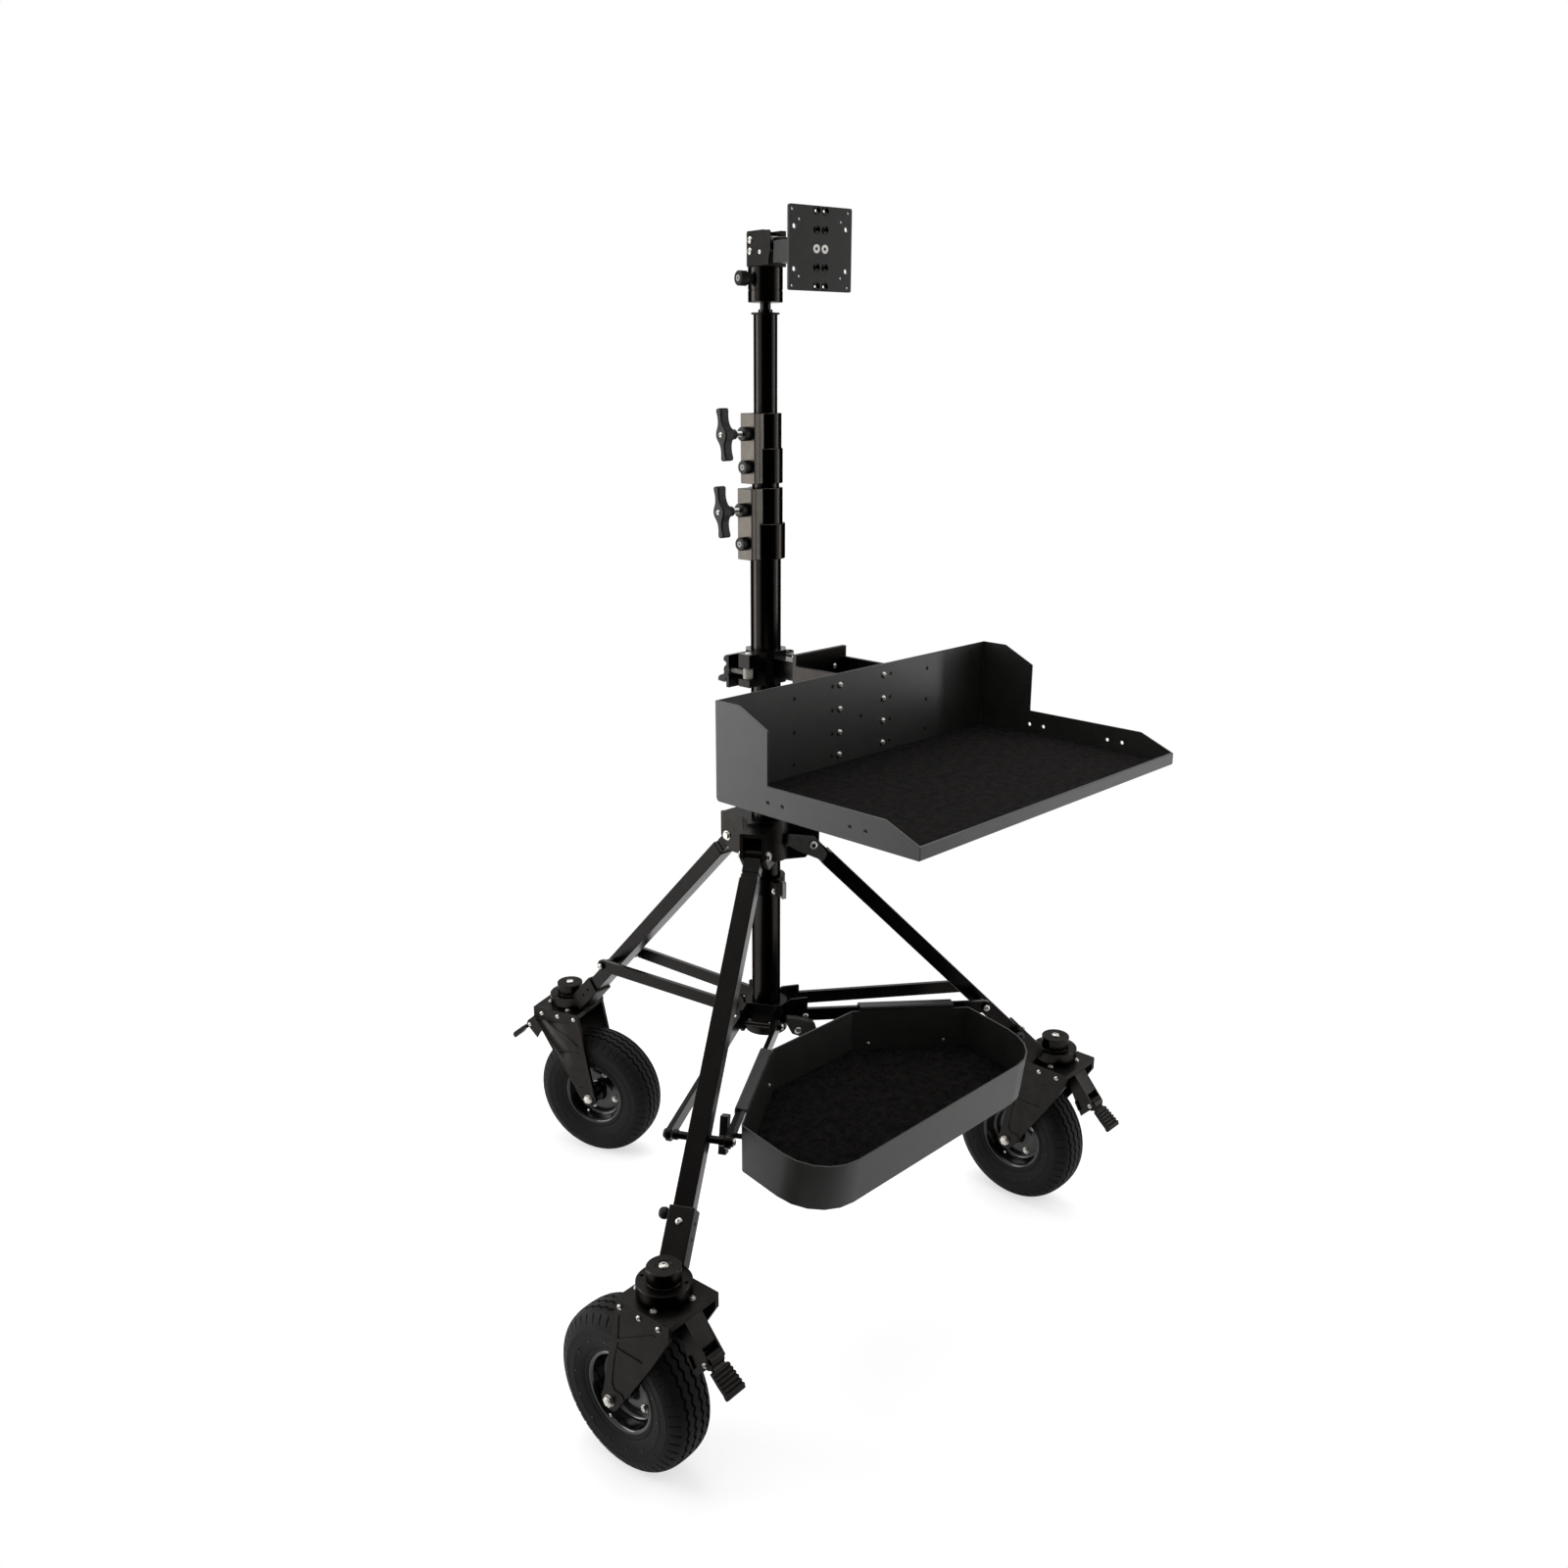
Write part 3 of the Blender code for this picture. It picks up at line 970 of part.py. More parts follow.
def caster_mount():
    """Sleeve on the end of a leg, running into the round flange and cap above the swivel."""
    inner_t = LEG_HALF_WIDTH + GAP
    inner_n = LEG_HALF_THICKNESS + GAP
    outer_t = inner_t + SLEEVE_WALL
    outer_n = inner_n + SLEEVE_WALL
    sleeve = moved(box((SLEEVE_START, -outer_t, -outer_n), (SLEEVE_END, outer_t, outer_n)), ALONG_LEG)
    bore = box((SLEEVE_START - 2.0 * CUT_MARGIN, -inner_t, -inner_n), (LEG_END + GAP, inner_t, inner_n))
    bore = moved(bore, ALONG_LEG)
    swivel = SWIVEL_RADIUS - LEG_HINGE_RADIUS
    base = SLEEVE_FLOOR_Z - LEG_HINGE_Z
    trim_top = base + FLANGE_HEIGHTS[0] - SLEEVE_FLOOR_Z
    trim = box((0.0, -FLANGE_RADIUS, base - CAP_TOP), (SWIVEL_RADIUS, FLANGE_RADIUS, trim_top))
    flange = rod(FLANGE_RADIUS, FLANGE_HEIGHTS[0] - LEG_HINGE_Z, FLANGE_HEIGHTS[1] - LEG_HINGE_Z,
                 centre=(swivel, 0.0), sides=TURNED_SIDES)
    cap_low = FLANGE_HEIGHTS[0] + 2.0 * OVERLAP - LEG_HINGE_Z
    cap = rod(CAP_RADIUS, cap_low, CAP_TOP - LEG_HINGE_Z, centre=(swivel, 0.0), sides=TURNED_SIDES)
    hole_top = KINGPIN_TOP + GAP - LEG_HINGE_Z
    kingpin_hole = rod(KINGPIN_RADIUS + GAP, base - CAP_TOP, hole_top, centre=(swivel, 0.0))
    release_centre = (RELEASE_ON_LEG + RELEASE_RADIUS, RELEASE_HEIGHT)
    hole_start = -outer_t - CUT_MARGIN
    release_hole = rod(RELEASE_STEM_RADIUS + GAP, hole_start, -inner_t + OVERLAP, "Y", release_centre)
    body = join(cut(sleeve, trim), flange, cap)
    return cut(body, bore, kingpin_hole, moved(release_hole, ALONG_LEG))


def release_knob():
    """Round pull knob of the spring plunger, on the left face of the sleeve."""
    outer_t = LEG_HALF_WIDTH + GAP + SLEEVE_WALL
    face = -outer_t - GAP
    tip = -LEG_HALF_WIDTH - 2.0 * GAP
    profile = [(RELEASE_RADIUS * share, RELEASE_LENGTH * height) for share, height in RELEASE_PROFILE]
    knob = moved(turned(profile, SMALL_SIDES), turn(math.radians(90), "X"))
    knob = moved(knob, shift(0.0, face, 0.0))
    stem = rod(RELEASE_STEM_RADIUS, face - 2.0 * OVERLAP, tip, "Y")
    place = shift(RELEASE_ON_LEG + RELEASE_RADIUS, 0.0, RELEASE_HEIGHT)
    return moved(join(knob, stem), ALONG_LEG @ place)


def spreader_arm(side):
    """Flat arm with round ends, drawn from its hub pivot along +X, with the bolt head at its far end."""
    half_t = SPREADER_HALF_THICKNESS
    half_h = SPREADER_HALF_HEIGHT
    steps = 6
    outline = []
    for centre_x, start in ((SPREADER_LENGTH, -90.0), (0.0, 90.0)):
        for step in range(steps + 1):
            angle = math.radians(start + 180.0 * step / steps)
            outline.append((centre_x + half_h * math.cos(angle), half_h * math.sin(angle)))
    arm = prism(outline, -half_t, half_t, "Y")
    head_low, head_high = sorted((side * (half_t - OVERLAP), side * (half_t + SPREADER_BOLT_HEAD)))
    head = rod(SPREADER_BOLT_RADIUS, head_low, head_high, "Y", (SPREADER_LENGTH, 0.0))
    bore = rod(HINGE_PIN_RADIUS + 2.0 * GAP, -half_t - CUT_MARGIN, half_t + CUT_MARGIN, "Y")
    tilt = turn(side * SPREADER_SPLAY, "Z") @ turn(SPREADER_SLOPE, "Y")
    return moved(cut(join(arm, head), bore), tilt)


def build_legs(root):
    """Three legs with their caster mounts, release knobs and spreader arms."""
    sides = (("right", 1), ("left", -1))
    for number, azimuth in enumerate(LEG_AZIMUTHS, 1):
        place = turn(azimuth, "Z") @ shift(LEG_HINGE_RADIUS, 0.0, LEG_HINGE_Z)
        hinge = empty(f"leg_hinge_{number}", root, place)
        piece(f"leg_tube_{number}", leg_tube(), BLACK_COAT, hinge)
        piece(f"caster_mount_{number}", caster_mount(), BLACK_COAT, hinge)
        piece(f"caster_release_knob_{number}", release_knob(), BLACK_PLASTIC, hinge)
        for name, side in sides:
            pivot = shift(SPREADER_HUB_RADIUS, side * SPREADER_HUB_OFFSET, SPREADER_HUB_Z)
            arm_frame = empty(f"spreader_pivot_{number}_{name}", root, turn(azimuth, "Z") @ pivot)
            piece(f"spreader_arm_{number}_{name}", spreader_arm(side), BLACK_COAT, arm_frame)


# Casters

def fork():
    """Swivel fork: kingpin, race, top plate, two cheeks and the bracket of the brake pedal."""
    plate_low = FORK_TOP - FORK_TOP_THICKNESS
    half = FORK_HALF_WIDTH
    chamfer = FORK_CHAMFER
    top_outline = [(FORK_BACK, -half + chamfer), (FORK_BACK + chamfer, -half), (FORK_FRONT - chamfer, -half),
                   (FORK_FRONT, -half + chamfer), (FORK_FRONT, half - chamfer), (FORK_FRONT - chamfer, half),
                   (FORK_BACK + chamfer, half), (FORK_BACK, half - chamfer)]
    top = prism(top_outline, plate_low, FORK_TOP)
    sunk = FORK_TOP - 2.0 * OVERLAP
    cheek = [(FORK_BACK, sunk)] + CHEEK_BACK
    steps = 8
    for step in range(steps + 1):
        angle = math.radians(205.0 + 195.0 * step / steps)
        end_x = TRAIL + FORK_END_RADIUS * math.cos(angle)
        cheek.append((end_x, WHEEL_RADIUS + FORK_END_RADIUS * math.sin(angle)))
    cheek += [(FORK_FRONT, plate_low), (FORK_FRONT, sunk)]
    pivot = (PEDAL_PIVOT_X, PEDAL_PIVOT_Z)
    bracket = [(pivot[0] + x, pivot[1] + z) for x, z in BRACKET_AROUND_PIN]
    shapes = []
    for side in (-1, 1):
        ends = sorted((side * (half - FORK_SIDE_THICKNESS), side * half))
        shapes.append(prism(cheek, ends[0], ends[1], "Y"))
        ends = sorted((side * (PEDAL_HALF_WIDTH - PEDAL_BRACKET_THICKNESS), side * PEDAL_HALF_WIDTH))
        shapes.append(prism(bracket, ends[0], ends[1], "Y"))
    shapes.append(rod(PEDAL_PIN_RADIUS, -PEDAL_HALF_WIDTH + OVERLAP, PEDAL_HALF_WIDTH - OVERLAP, "Y", pivot))
    shapes.append(rod(RACE_RADIUS, FORK_TOP - OVERLAP, FLANGE_HEIGHTS[0] - GAP, sides=TURNED_SIDES))
    shapes.append(rod(KINGPIN_RADIUS, sunk, KINGPIN_TOP))
    axle_hole = rod(AXLE_RADIUS + GAP, -half - CUT_MARGIN, half + CUT_MARGIN, "Y", (TRAIL, WHEEL_RADIUS))
    return cut(join(top, *shapes), axle_hole)


def axle():
    """Axle through the fork with a nut at each end, drawn along Z before it is laid across."""
    face = FORK_HALF_WIDTH + GAP
    profile = [(0.0, -AXLE_HALF_LENGTH), (AXLE_NUT_RADIUS, -AXLE_HALF_LENGTH), (AXLE_NUT_RADIUS, -face),
               (AXLE_RADIUS, -face), (AXLE_RADIUS, face), (AXLE_NUT_RADIUS, face),
               (AXLE_NUT_RADIUS, AXLE_HALF_LENGTH), (0.0, AXLE_HALF_LENGTH)]
    return moved(turned(profile, SMALL_SIDES), turn(math.radians(90), "X"))


def lay_wheel(mesh):
    """Lay a wheel part across its axle, with the middle of a facet at the bottom."""
    return moved(mesh, turn(math.radians(90), "X") @ turn(math.pi / WHEEL_SIDES, "Z"))


def rim():
    """Wheel centre: hub, web and a barrel with a flange on each side."""
    bore = AXLE_RADIUS + GAP
    hub_end = FORK_HALF_WIDTH - FORK_SIDE_THICKNESS - GAP
    web = RIM_WEB_HALF_THICKNESS
    inner = RIM_BARREL_RADIUS - RIM_WALL
    flange_in = RIM_HALF_WIDTH - RIM_FLANGE_THICKNESS
    upper = [(bore, hub_end), (RIM_HUB_RADIUS, hub_end), (RIM_HUB_RADIUS + RIM_FILLET, web),
             (inner - RIM_FILLET, web), (inner, RIM_HALF_WIDTH), (RIM_FLANGE_RADIUS, RIM_HALF_WIDTH),
             (RIM_FLANGE_RADIUS, flange_in), (RIM_BARREL_RADIUS, flange_in)]
    profile = upper + [(radius, -height) for radius, height in reversed(upper)]
    return lay_wheel(turned(profile, WHEEL_SIDES))


def tyre():
    """Tyre seated between the flanges of the rim, with a round crown and a flat of it on the floor."""
    flat_to_corner = 1.0 / math.cos(math.pi / WHEEL_SIDES)
    seat = RIM_BARREL_RADIUS + GAP
    bead = RIM_HALF_WIDTH - RIM_FLANGE_THICKNESS - GAP
    over_flange = RIM_FLANGE_RADIUS + TYRE_BEAD_RISE
    sidewall = (RIM_FLANGE_RADIUS + TYRE_SIDE_RISE, -WHEEL_HALF_WIDTH + TYRE_SIDE_INSET)
    half = [(seat, -bead), (RIM_FLANGE_RADIUS + GAP, -bead), (over_flange, -RIM_HALF_WIDTH), sidewall]
    rise = WHEEL_RADIUS * flat_to_corner - TYRE_MID_RADIUS
    crown = []
    for step in range(TYRE_STEPS + 1):
        angle = math.radians(-90.0 + 180.0 * step / TYRE_STEPS)
        crown.append((TYRE_MID_RADIUS + rise * math.cos(angle), WHEEL_HALF_WIDTH * math.sin(angle)))
    profile = half + crown + [(radius, -height) for radius, height in reversed(half)]
    return lay_wheel(turned(profile, WHEEL_SIDES))


def pedal():
    """Brake pedal, drawn around its own pin."""
    hub_half = PEDAL_HALF_WIDTH - PEDAL_BRACKET_THICKNESS - GAP
    hub = rod(PEDAL_HUB_RADIUS, -hub_half, hub_half, "Y")
    end = PEDAL_START + PEDAL_LENGTH
    half = PEDAL_THICKNESS / 2.0
    tread = box((-end, -PEDAL_HALF_WIDTH, -half), (-PEDAL_START, PEDAL_HALF_WIDTH, half))
    link = box((-PEDAL_START - OVERLAP, -hub_half, -half), (0.0, hub_half, half))
    lip = box((-end, -PEDAL_HALF_WIDTH, -half - PEDAL_LIP[1]), (-end + PEDAL_LIP[0], PEDAL_HALF_WIDTH, half))
    body = moved(join(tread, link, lip), turn(-PEDAL_SLOPE, "Y"))
    bore = rod(PEDAL_PIN_RADIUS + GAP, -hub_half - CUT_MARGIN, hub_half + CUT_MARGIN, "Y")
    return cut(join(hub, body), bore)


def build_casters(root):
    """One swivel caster at the end of each leg."""
    for number, azimuth in enumerate(LEG_AZIMUTHS, 1):
        place = shift(SWIVEL_RADIUS * math.cos(azimuth), SWIVEL_RADIUS * math.sin(azimuth), 0.0)
        swivel = empty(f"swivel_{number}", root, place @ turn(TRAIL_AZIMUTHS[number - 1], "Z"))
        wheel = empty(f"wheel_axis_{number}", swivel, shift(TRAIL, 0.0, WHEEL_RADIUS))
        pedal_axis = empty(f"pedal_axis_{number}", swivel, shift(PEDAL_PIVOT_X, 0.0, PEDAL_PIVOT_Z))
        piece(f"caster_fork_{number}", fork(), BLACK_COAT, swivel)
        piece(f"axle_{number}", axle(), STEEL, wheel)
        piece(f"rim_{number}", rim(), BLACK_PLASTIC, wheel)
        piece(f"tyre_{number}", tyre(), RUBBER, wheel)
        piece(f"brake_pedal_{number}", pedal(), BLACK_COAT, pedal_axis)


# Lower tray

RIM_TILT = math.atan(RIM_FALL)


def beside_arm(r, outward):
    """Plan point beside the right spreader arm's line, this far from its centre towards the tray."""
    azimuth = LEG_AZIMUTHS[1] - SPREADER_SPLAY
    start_azimuth = LEG_AZIMUTHS[1]
    start_x = SPREADER_HUB_RADIUS * math.cos(start_azimuth) + SPREADER_HUB_OFFSET * math.sin(start_azimuth)
    start_y = SPREADER_HUB_RADIUS * math.sin(start_azimuth) - SPREADER_HUB_OFFSET * math.cos(start_azimuth)
    along = r - SPREADER_HUB_RADIUS
    x = start_x + along * math.cos(azimuth) + outward * math.sin(azimuth)
    y = start_y + along * math.sin(azimuth) - outward * math.cos(azimuth)
    return x, y


def in_tray_plane(point):
    """Plan point (x, y) in the tipped plane of the tray."""
    return point[0], point[1] / math.cos(RIM_TILT)


def tray_corners(depth):
    """Corners of the tray this far below its rim, counter-clockwise, starting at the back left.

    The walls beside the arms stand plumb, so that the arms swing down past them. The front walls are
    square to the floor.
    """
    wall = SPREADER_HALF_THICKNESS + TRAY_TO_ARM
    plumb = depth * RIM_FALL
    back_x, back_y = in_tray_plane(beside_arm(TRAY_BACK_R, wall))
    side_x, side_y = in_tray_plane(beside_arm(TRAY_SIDE_R, wall))
    back = (back_x, back_y - plumb)
    side = (side_x, side_y - plumb)
    front = in_tray_plane((TRAY_FRONT_X, TRAY_FRONT_Y))
    right = [front, side, back]
    left = [(-x, y) for x, y in reversed(right)]
    return left + right


def tray_outline(inset, depth):
    """Rounded outline of the tray this far below its rim, moved in by the given distance."""
    small = max(TRAY_SMALL_CORNER - inset, 0.001)
    large = TRAY_FRONT_CORNER - inset
    radii = [small, small, large, large, small, small]
    return rounded_polygon(offset_polygon(tray_corners(depth), inset), radii)


def tray_solid(inset, floor, top):
    """Solid between two heights in the tray's frame, with the outline of the tray at each of them."""
    bm = bmesh.new()
    rings = []
    for height in (floor, top):
        rings.append([bm.verts.new((x, y, height)) for x, y in tray_outline(inset, -height)])
    count = len(rings[0])
    bm.faces.new(list(reversed(rings[0])))
    bm.faces.new(rings[1])
    for index in range(count):
        after = (index + 1) % count
        corners = (rings[0][index], rings[0][after], rings[1][after], rings[1][index])
        bm.faces.new(corners[:3])
        bm.faces.new((corners[0], corners[2], corners[3]))
    return finish_mesh(bm)


def lip(side):
    """Rolled lip over one front spreader arm, with the tab that hangs on the leg side."""
    wall = SPREADER_HALF_THICKNESS + TRAY_TO_ARM
    hook = -SPREADER_HALF_THICKNESS - GAP * 2.0
    inner = wall + SHEET - LIP_INSET
    outer = wall + LIP_INSET
    section = [(inner, -LIP_ROOT), (inner, LIP_TOP - 0.002), (outer, LIP_TOP), (hook, LIP_TOP),
               (hook - HOOK_WIDTH, LIP_TOP - 0.002), (hook - HOOK_WIDTH, -HOOK_DROP), (hook, -HOOK_DROP),
               (hook, LIP_UNDER), (outer, LIP_UNDER), (outer, -LIP_ROOT)]
    tab_outer = hook - HOOK_WIDTH + LIP_INSET
    tab_inner = hook - LIP_INSET
    tab_top = LIP_TOP - 0.003
    tab = [(tab_outer, tab_top), (tab_outer, -TAB_DROP), (tab_inner, -TAB_DROP), (tab_inner, tab_top)]
    shapes = []
    for outline, (start, end) in ((section, LIP_R), (tab, TAB_R)):
        bm = bmesh.new()
        rings = []
        for r in (start, end):
            ring = []
            for outward, height in outline:
                x, y = in_tray_plane(beside_arm(r, outward))
                ring.append(bm.verts.new((side * x, y, height)))
            rings.append(ring)
        count = len(outline)
        bm.faces.new(rings[0])
        bm.faces.new(list(reversed(rings[1])))
        for index in range(count):
            after = (index + 1) % count
            bm.faces.new((rings[0][after], rings[0][index], rings[1][index], rings[1][after]))
        shapes.append(finish_mesh(bm))
    return join(*shapes)


def build_lower_tray(root):
    """Tipped tray that hangs on the two front pairs of arms, with its felt and its knob."""
    frame = empty("lower_tray_frame", root, shift(0.0, 0.0, RIM_Z) @ turn(RIM_TILT, "X"))
    floor = -LOWER_TRAY_DEPTH + SHEET
    shell = cut(tray_solid(0.0, -LOWER_TRAY_DEPTH, 0.0), tray_solid(SHEET, floor, CUT_MARGIN))
    piece("lower_tray", join(shell, lip(1), lip(-1)), BLACK_COAT, frame)

    liner_floor = floor + GAP
    liner = prism(tray_outline(SHEET + GAP, -liner_floor), liner_floor, liner_floor + LINER_THICKNESS)
    piece("lower_tray_liner", liner, FELT, frame)

    # the knob hangs on the right arm of the left front leg, and its stem ends beside the tray's wall
    knob_place = turn(LEG_AZIMUTHS[0], "Z") @ shift(TRAY_KNOB_R, 0.0, TRAY_KNOB_Z)
    arm_t = SPREADER_HUB_OFFSET + (TRAY_KNOB_R - SPREADER_HUB_RADIUS) * math.tan(SPREADER_SPLAY)
    stem_end = arm_t + SPREADER_HALF_THICKNESS + TRAY_TO_ARM - TRAY_KNOB_TIP_GAP
    knob_axis = empty("lower_tray_knob_axis", root, knob_place)
    bar_low, bar_high, hub_high = TRAY_KNOB_T
    half_length = TRAY_KNOB_LENGTH / 2.0
    half_width = TRAY_KNOB_WIDTH / 2.0
    bar = box((-half_width, bar_low, -half_length), (half_width, bar_high, half_length))
    bar = moved(bar, turn(TRAY_KNOB_TILT, "Y"))
    hub = rod(TRAY_KNOB_HUB_RADIUS, bar_high - OVERLAP, hub_high, "Y")
    stem = rod(TRAY_KNOB_STEM_RADIUS, hub_high - OVERLAP, stem_end, "Y")
    piece("lower_tray_knob", join(bar, hub, stem), BLACK_PLASTIC, knob_axis)


def main():
    """Build the whole stand."""
    clear_scene()
    root = empty("stand_origin", None, shift(0.0, MAST_Y, 0.0))
    build_tubes(root)
    build_mast_clamps(root)
    build_head(root)
    build_tray_clamp(root)
    build_bracket(root)
    build_upper_tray(root)
    build_upper_hub(root)
    build_upper_lever(root)
    build_collar(root)
    build_lower_hub(root)
    build_legs(root)
    build_casters(root)
    build_lower_tray(root)
    bpy.context.view_layer.update()


main()
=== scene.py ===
"""Mobile workstation stand: the dressed model, its finishes, the studio and the camera.

Lengths are metres, +Z is up and the user stands on the -Y side. The mast's axis is at y = MAST_Y.
"""
import bmesh
import bpy
import math
from mathutils import Matrix
from mathutils import Vector


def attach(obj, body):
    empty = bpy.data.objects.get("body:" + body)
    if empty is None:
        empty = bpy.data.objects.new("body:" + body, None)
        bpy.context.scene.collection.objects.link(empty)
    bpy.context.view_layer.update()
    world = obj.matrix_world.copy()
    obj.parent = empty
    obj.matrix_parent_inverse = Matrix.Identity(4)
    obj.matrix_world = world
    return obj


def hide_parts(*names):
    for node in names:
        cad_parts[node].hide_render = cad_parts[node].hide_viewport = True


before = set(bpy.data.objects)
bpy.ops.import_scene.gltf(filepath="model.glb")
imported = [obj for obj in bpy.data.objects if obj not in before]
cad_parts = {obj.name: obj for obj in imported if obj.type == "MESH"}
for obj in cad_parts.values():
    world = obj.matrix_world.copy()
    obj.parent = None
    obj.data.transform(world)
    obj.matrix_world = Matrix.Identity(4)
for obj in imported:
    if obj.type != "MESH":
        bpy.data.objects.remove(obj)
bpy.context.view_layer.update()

# Places of the main groups, as in the CAD. The azimuths are in degrees.
MAST_Y = -0.065
HEAD_TURN = -9.0
PLATE_CENTRE = (0.005, 1.700)
LEG_AZIMUTHS = (-150.0, -30.0, 90.0)
TRAIL_AZIMUTHS = (94.4, 91.0, -70.0)
HINGE_RADIUS = 0.071
HINGE_Z = 0.784
SWIVEL_RADIUS = 0.558
SWIVEL_REACH = SWIVEL_RADIUS - HINGE_RADIUS
LEG_DROP = HINGE_Z - 0.2819
LEG_SLOPE = math.atan(LEG_DROP / SWIVEL_REACH)
LEG_LENGTH = math.hypot(SWIVEL_REACH, LEG_DROP)
TRAIL = 0.065
WHEEL_RADIUS = 0.1276
PEDAL_PIVOT = (-0.090, 0.246)

# Down a leg from its hinge: the rod of its spreader arms, and the mouth and plunger of its sleeve
ARM_ROD = 0.459
SLEEVE_START = LEG_LENGTH - 0.1387
PLUNGER = (SLEEVE_START + 0.0112, 0.002)

# Facets around a large round and a small one
ROUND = 96
SMALL_ROUND = 32

WHITE = (1.0, 1.0, 1.0, 1.0)


def shift(x=0.0, y=0.0, z=0.0):
    """A plain translation."""
    return Matrix.Translation((x, y, z))


def turn(degrees, axis):
    """A plain rotation about an axis through the origin."""
    return Matrix.Rotation(math.radians(degrees), 4, axis)


MAST = shift(y=MAST_Y)
HEAD = MAST @ turn(HEAD_TURN, "Z")
DOWN_LEG = Matrix.Rotation(LEG_SLOPE, 4, "Y")
ALONG_MINUS_X = turn(-90.0, "Y")


def radial(index):
    """Frame at the mast whose +X points along one leg."""
    return MAST @ turn(LEG_AZIMUTHS[index], "Z")


def at_hinge(index):
    """Frame at a leg's hinge whose +X points out along the leg, level."""
    return radial(index) @ shift(HINGE_RADIUS, 0.0, HINGE_Z)


def at_swivel(index):
    """Frame on a caster's swivel axis whose +X points along its trail."""
    azimuth = math.radians(LEG_AZIMUTHS[index])
    out = shift(SWIVEL_RADIUS * math.cos(azimuth), SWIVEL_RADIUS * math.sin(azimuth))
    return MAST @ out @ turn(TRAIL_AZIMUTHS[index], "Z")


def add_object(name, data):
    """A new object in the scene."""
    item = bpy.data.objects.new(name, data)
    bpy.context.scene.collection.objects.link(item)
    return item


# Camera, at the photograph's viewing angle

def make_camera():
    """Camera fitted to the outline of the stand in the photograph, whose pixels its lens is given in."""
    photo_width = 1600.0
    focal_length = 1411.37
    shift_right, shift_up = -1.4, -1.2
    azimuth, drop, roll = 43.858, 16.4523, 0.1722
    camera = add_object("camera", bpy.data.cameras.new("camera"))
    bearing = turn(azimuth - 90.0, "Z") @ turn(90.0 - drop, "X") @ turn(roll, "Z")
    camera.matrix_world = shift(-1.55004, -1.59869, 1.53032) @ bearing
    camera.data.sensor_width = 36.0
    camera.data.lens = focal_length / photo_width * camera.data.sensor_width
    camera.data.shift_x = shift_right / photo_width
    camera.data.shift_y = shift_up / photo_width
    bpy.context.scene.camera = camera


make_camera()


# Nodes, colours and finishes

def add_node(tree, kind, inputs=None, **settings):
    """One node with its settings. An input takes a value or another node's output."""
    item = tree.nodes.new(kind)
    for key, value in settings.items():
        setattr(item, key, value)
    for key, value in (inputs or {}).items():
        if isinstance(value, bpy.types.NodeSocket):
            tree.links.new(value, item.inputs[key])
        else:
            item.inputs[key].default_value = value
    return item


def linear(code):
    """Linear colour of an sRGB hex value such as 4a4845."""
    parts = [int(code[start:start + 2], 16) / 255.0 for start in (0, 2, 4)]
    levels = [part / 12.92 if part <= 0.04045 else ((part + 0.055) / 1.055) ** 2.4 for part in parts]
    return (*levels, 1.0)


def new_material(name):
    """A material, its node tree and its shader."""
    material = bpy.data.materials.new(name)
    material.use_nodes = True
    return material, material.node_tree, material.node_tree.nodes["Principled BSDF"]


def finish(name, deep, light, roughness, metallic, grain, mottle, bump, spread, gloss=0.5, glare=1.0):
    """A finish whose colour wanders between two tones.

    grain is the size of its fine texture in metres, mottle that of its slow change of tone, bump the
    height of the grain and spread the range of its roughness. gloss is the level of a coat's own shine,
    and glare tones a metal's reflection at a glancing view.
    """
    material, tree, shader = new_material(name)
    spot = add_node(tree, "ShaderNodeTexCoord").outputs["Object"]
    fine = add_node(tree, "ShaderNodeTexNoise", {"Vector": spot, "Scale": 1.0 / grain, "Detail": 2.0})
    slow = add_node(tree, "ShaderNodeTexNoise", {"Vector": spot, "Scale": 1.0 / mottle, "Detail": 3.0})
    blend = add_node(tree, "ShaderNodeMix", {0: 0.55, 2: slow.outputs["Fac"], 3: fine.outputs["Fac"]})
    share = add_node(tree, "ShaderNodeMapRange", {
        "Value": blend.outputs[0], "From Min": 0.35, "From Max": 0.65})
    tone = add_node(tree, "ShaderNodeMix", {
        0: share.outputs["Result"], 6: linear(deep), 7: linear(light)}, data_type="RGBA")
    rough = add_node(tree, "ShaderNodeMapRange", {
        "Value": fine.outputs["Fac"], "From Min": 0.3, "From Max": 0.7,
        "To Min": roughness - spread, "To Max": roughness + spread})
    relief = add_node(tree, "ShaderNodeBump", {
        "Height": fine.outputs["Fac"], "Strength": bump, "Distance": grain})
    tree.links.new(tone.outputs[2], shader.inputs["Base Color"])
    tree.links.new(rough.outputs["Result"], shader.inputs["Roughness"])
    tree.links.new(relief.outputs["Normal"], shader.inputs["Normal"])
    shader.inputs["Metallic"].default_value = metallic
    shader.inputs["Specular IOR Level"].default_value = gloss
    shader.inputs["Specular Tint"].default_value = (glare, glare, glare, 1.0)
    return material


# Anodised aluminium, drawn or turned smooth, of the mast, the clamp rings and the head's socket: near
# black, so that only its long clean highlights show. It also lines the countersinks in the monitor plate,
# as painted shade in them. Its dyed oxide dulls them at a glancing view, as it does on the blocks, hubs and
# plates.
TUBE = finish("black anodised tube", "2b2927", "32302e", 0.22, 1.0, 0.0006, 0.05, 0.02, 0.03, glare=0.3)
# Anodised aluminium block, milled and bead blasted: a warm grey sheen where it faces a lamp, else near
# black.
ANODISED = finish("satin black anodised aluminium", "383532", "423f3b", 0.26, 1.0, 0.0005, 0.02, 0.05, 0.05,
                  glare=0.5)
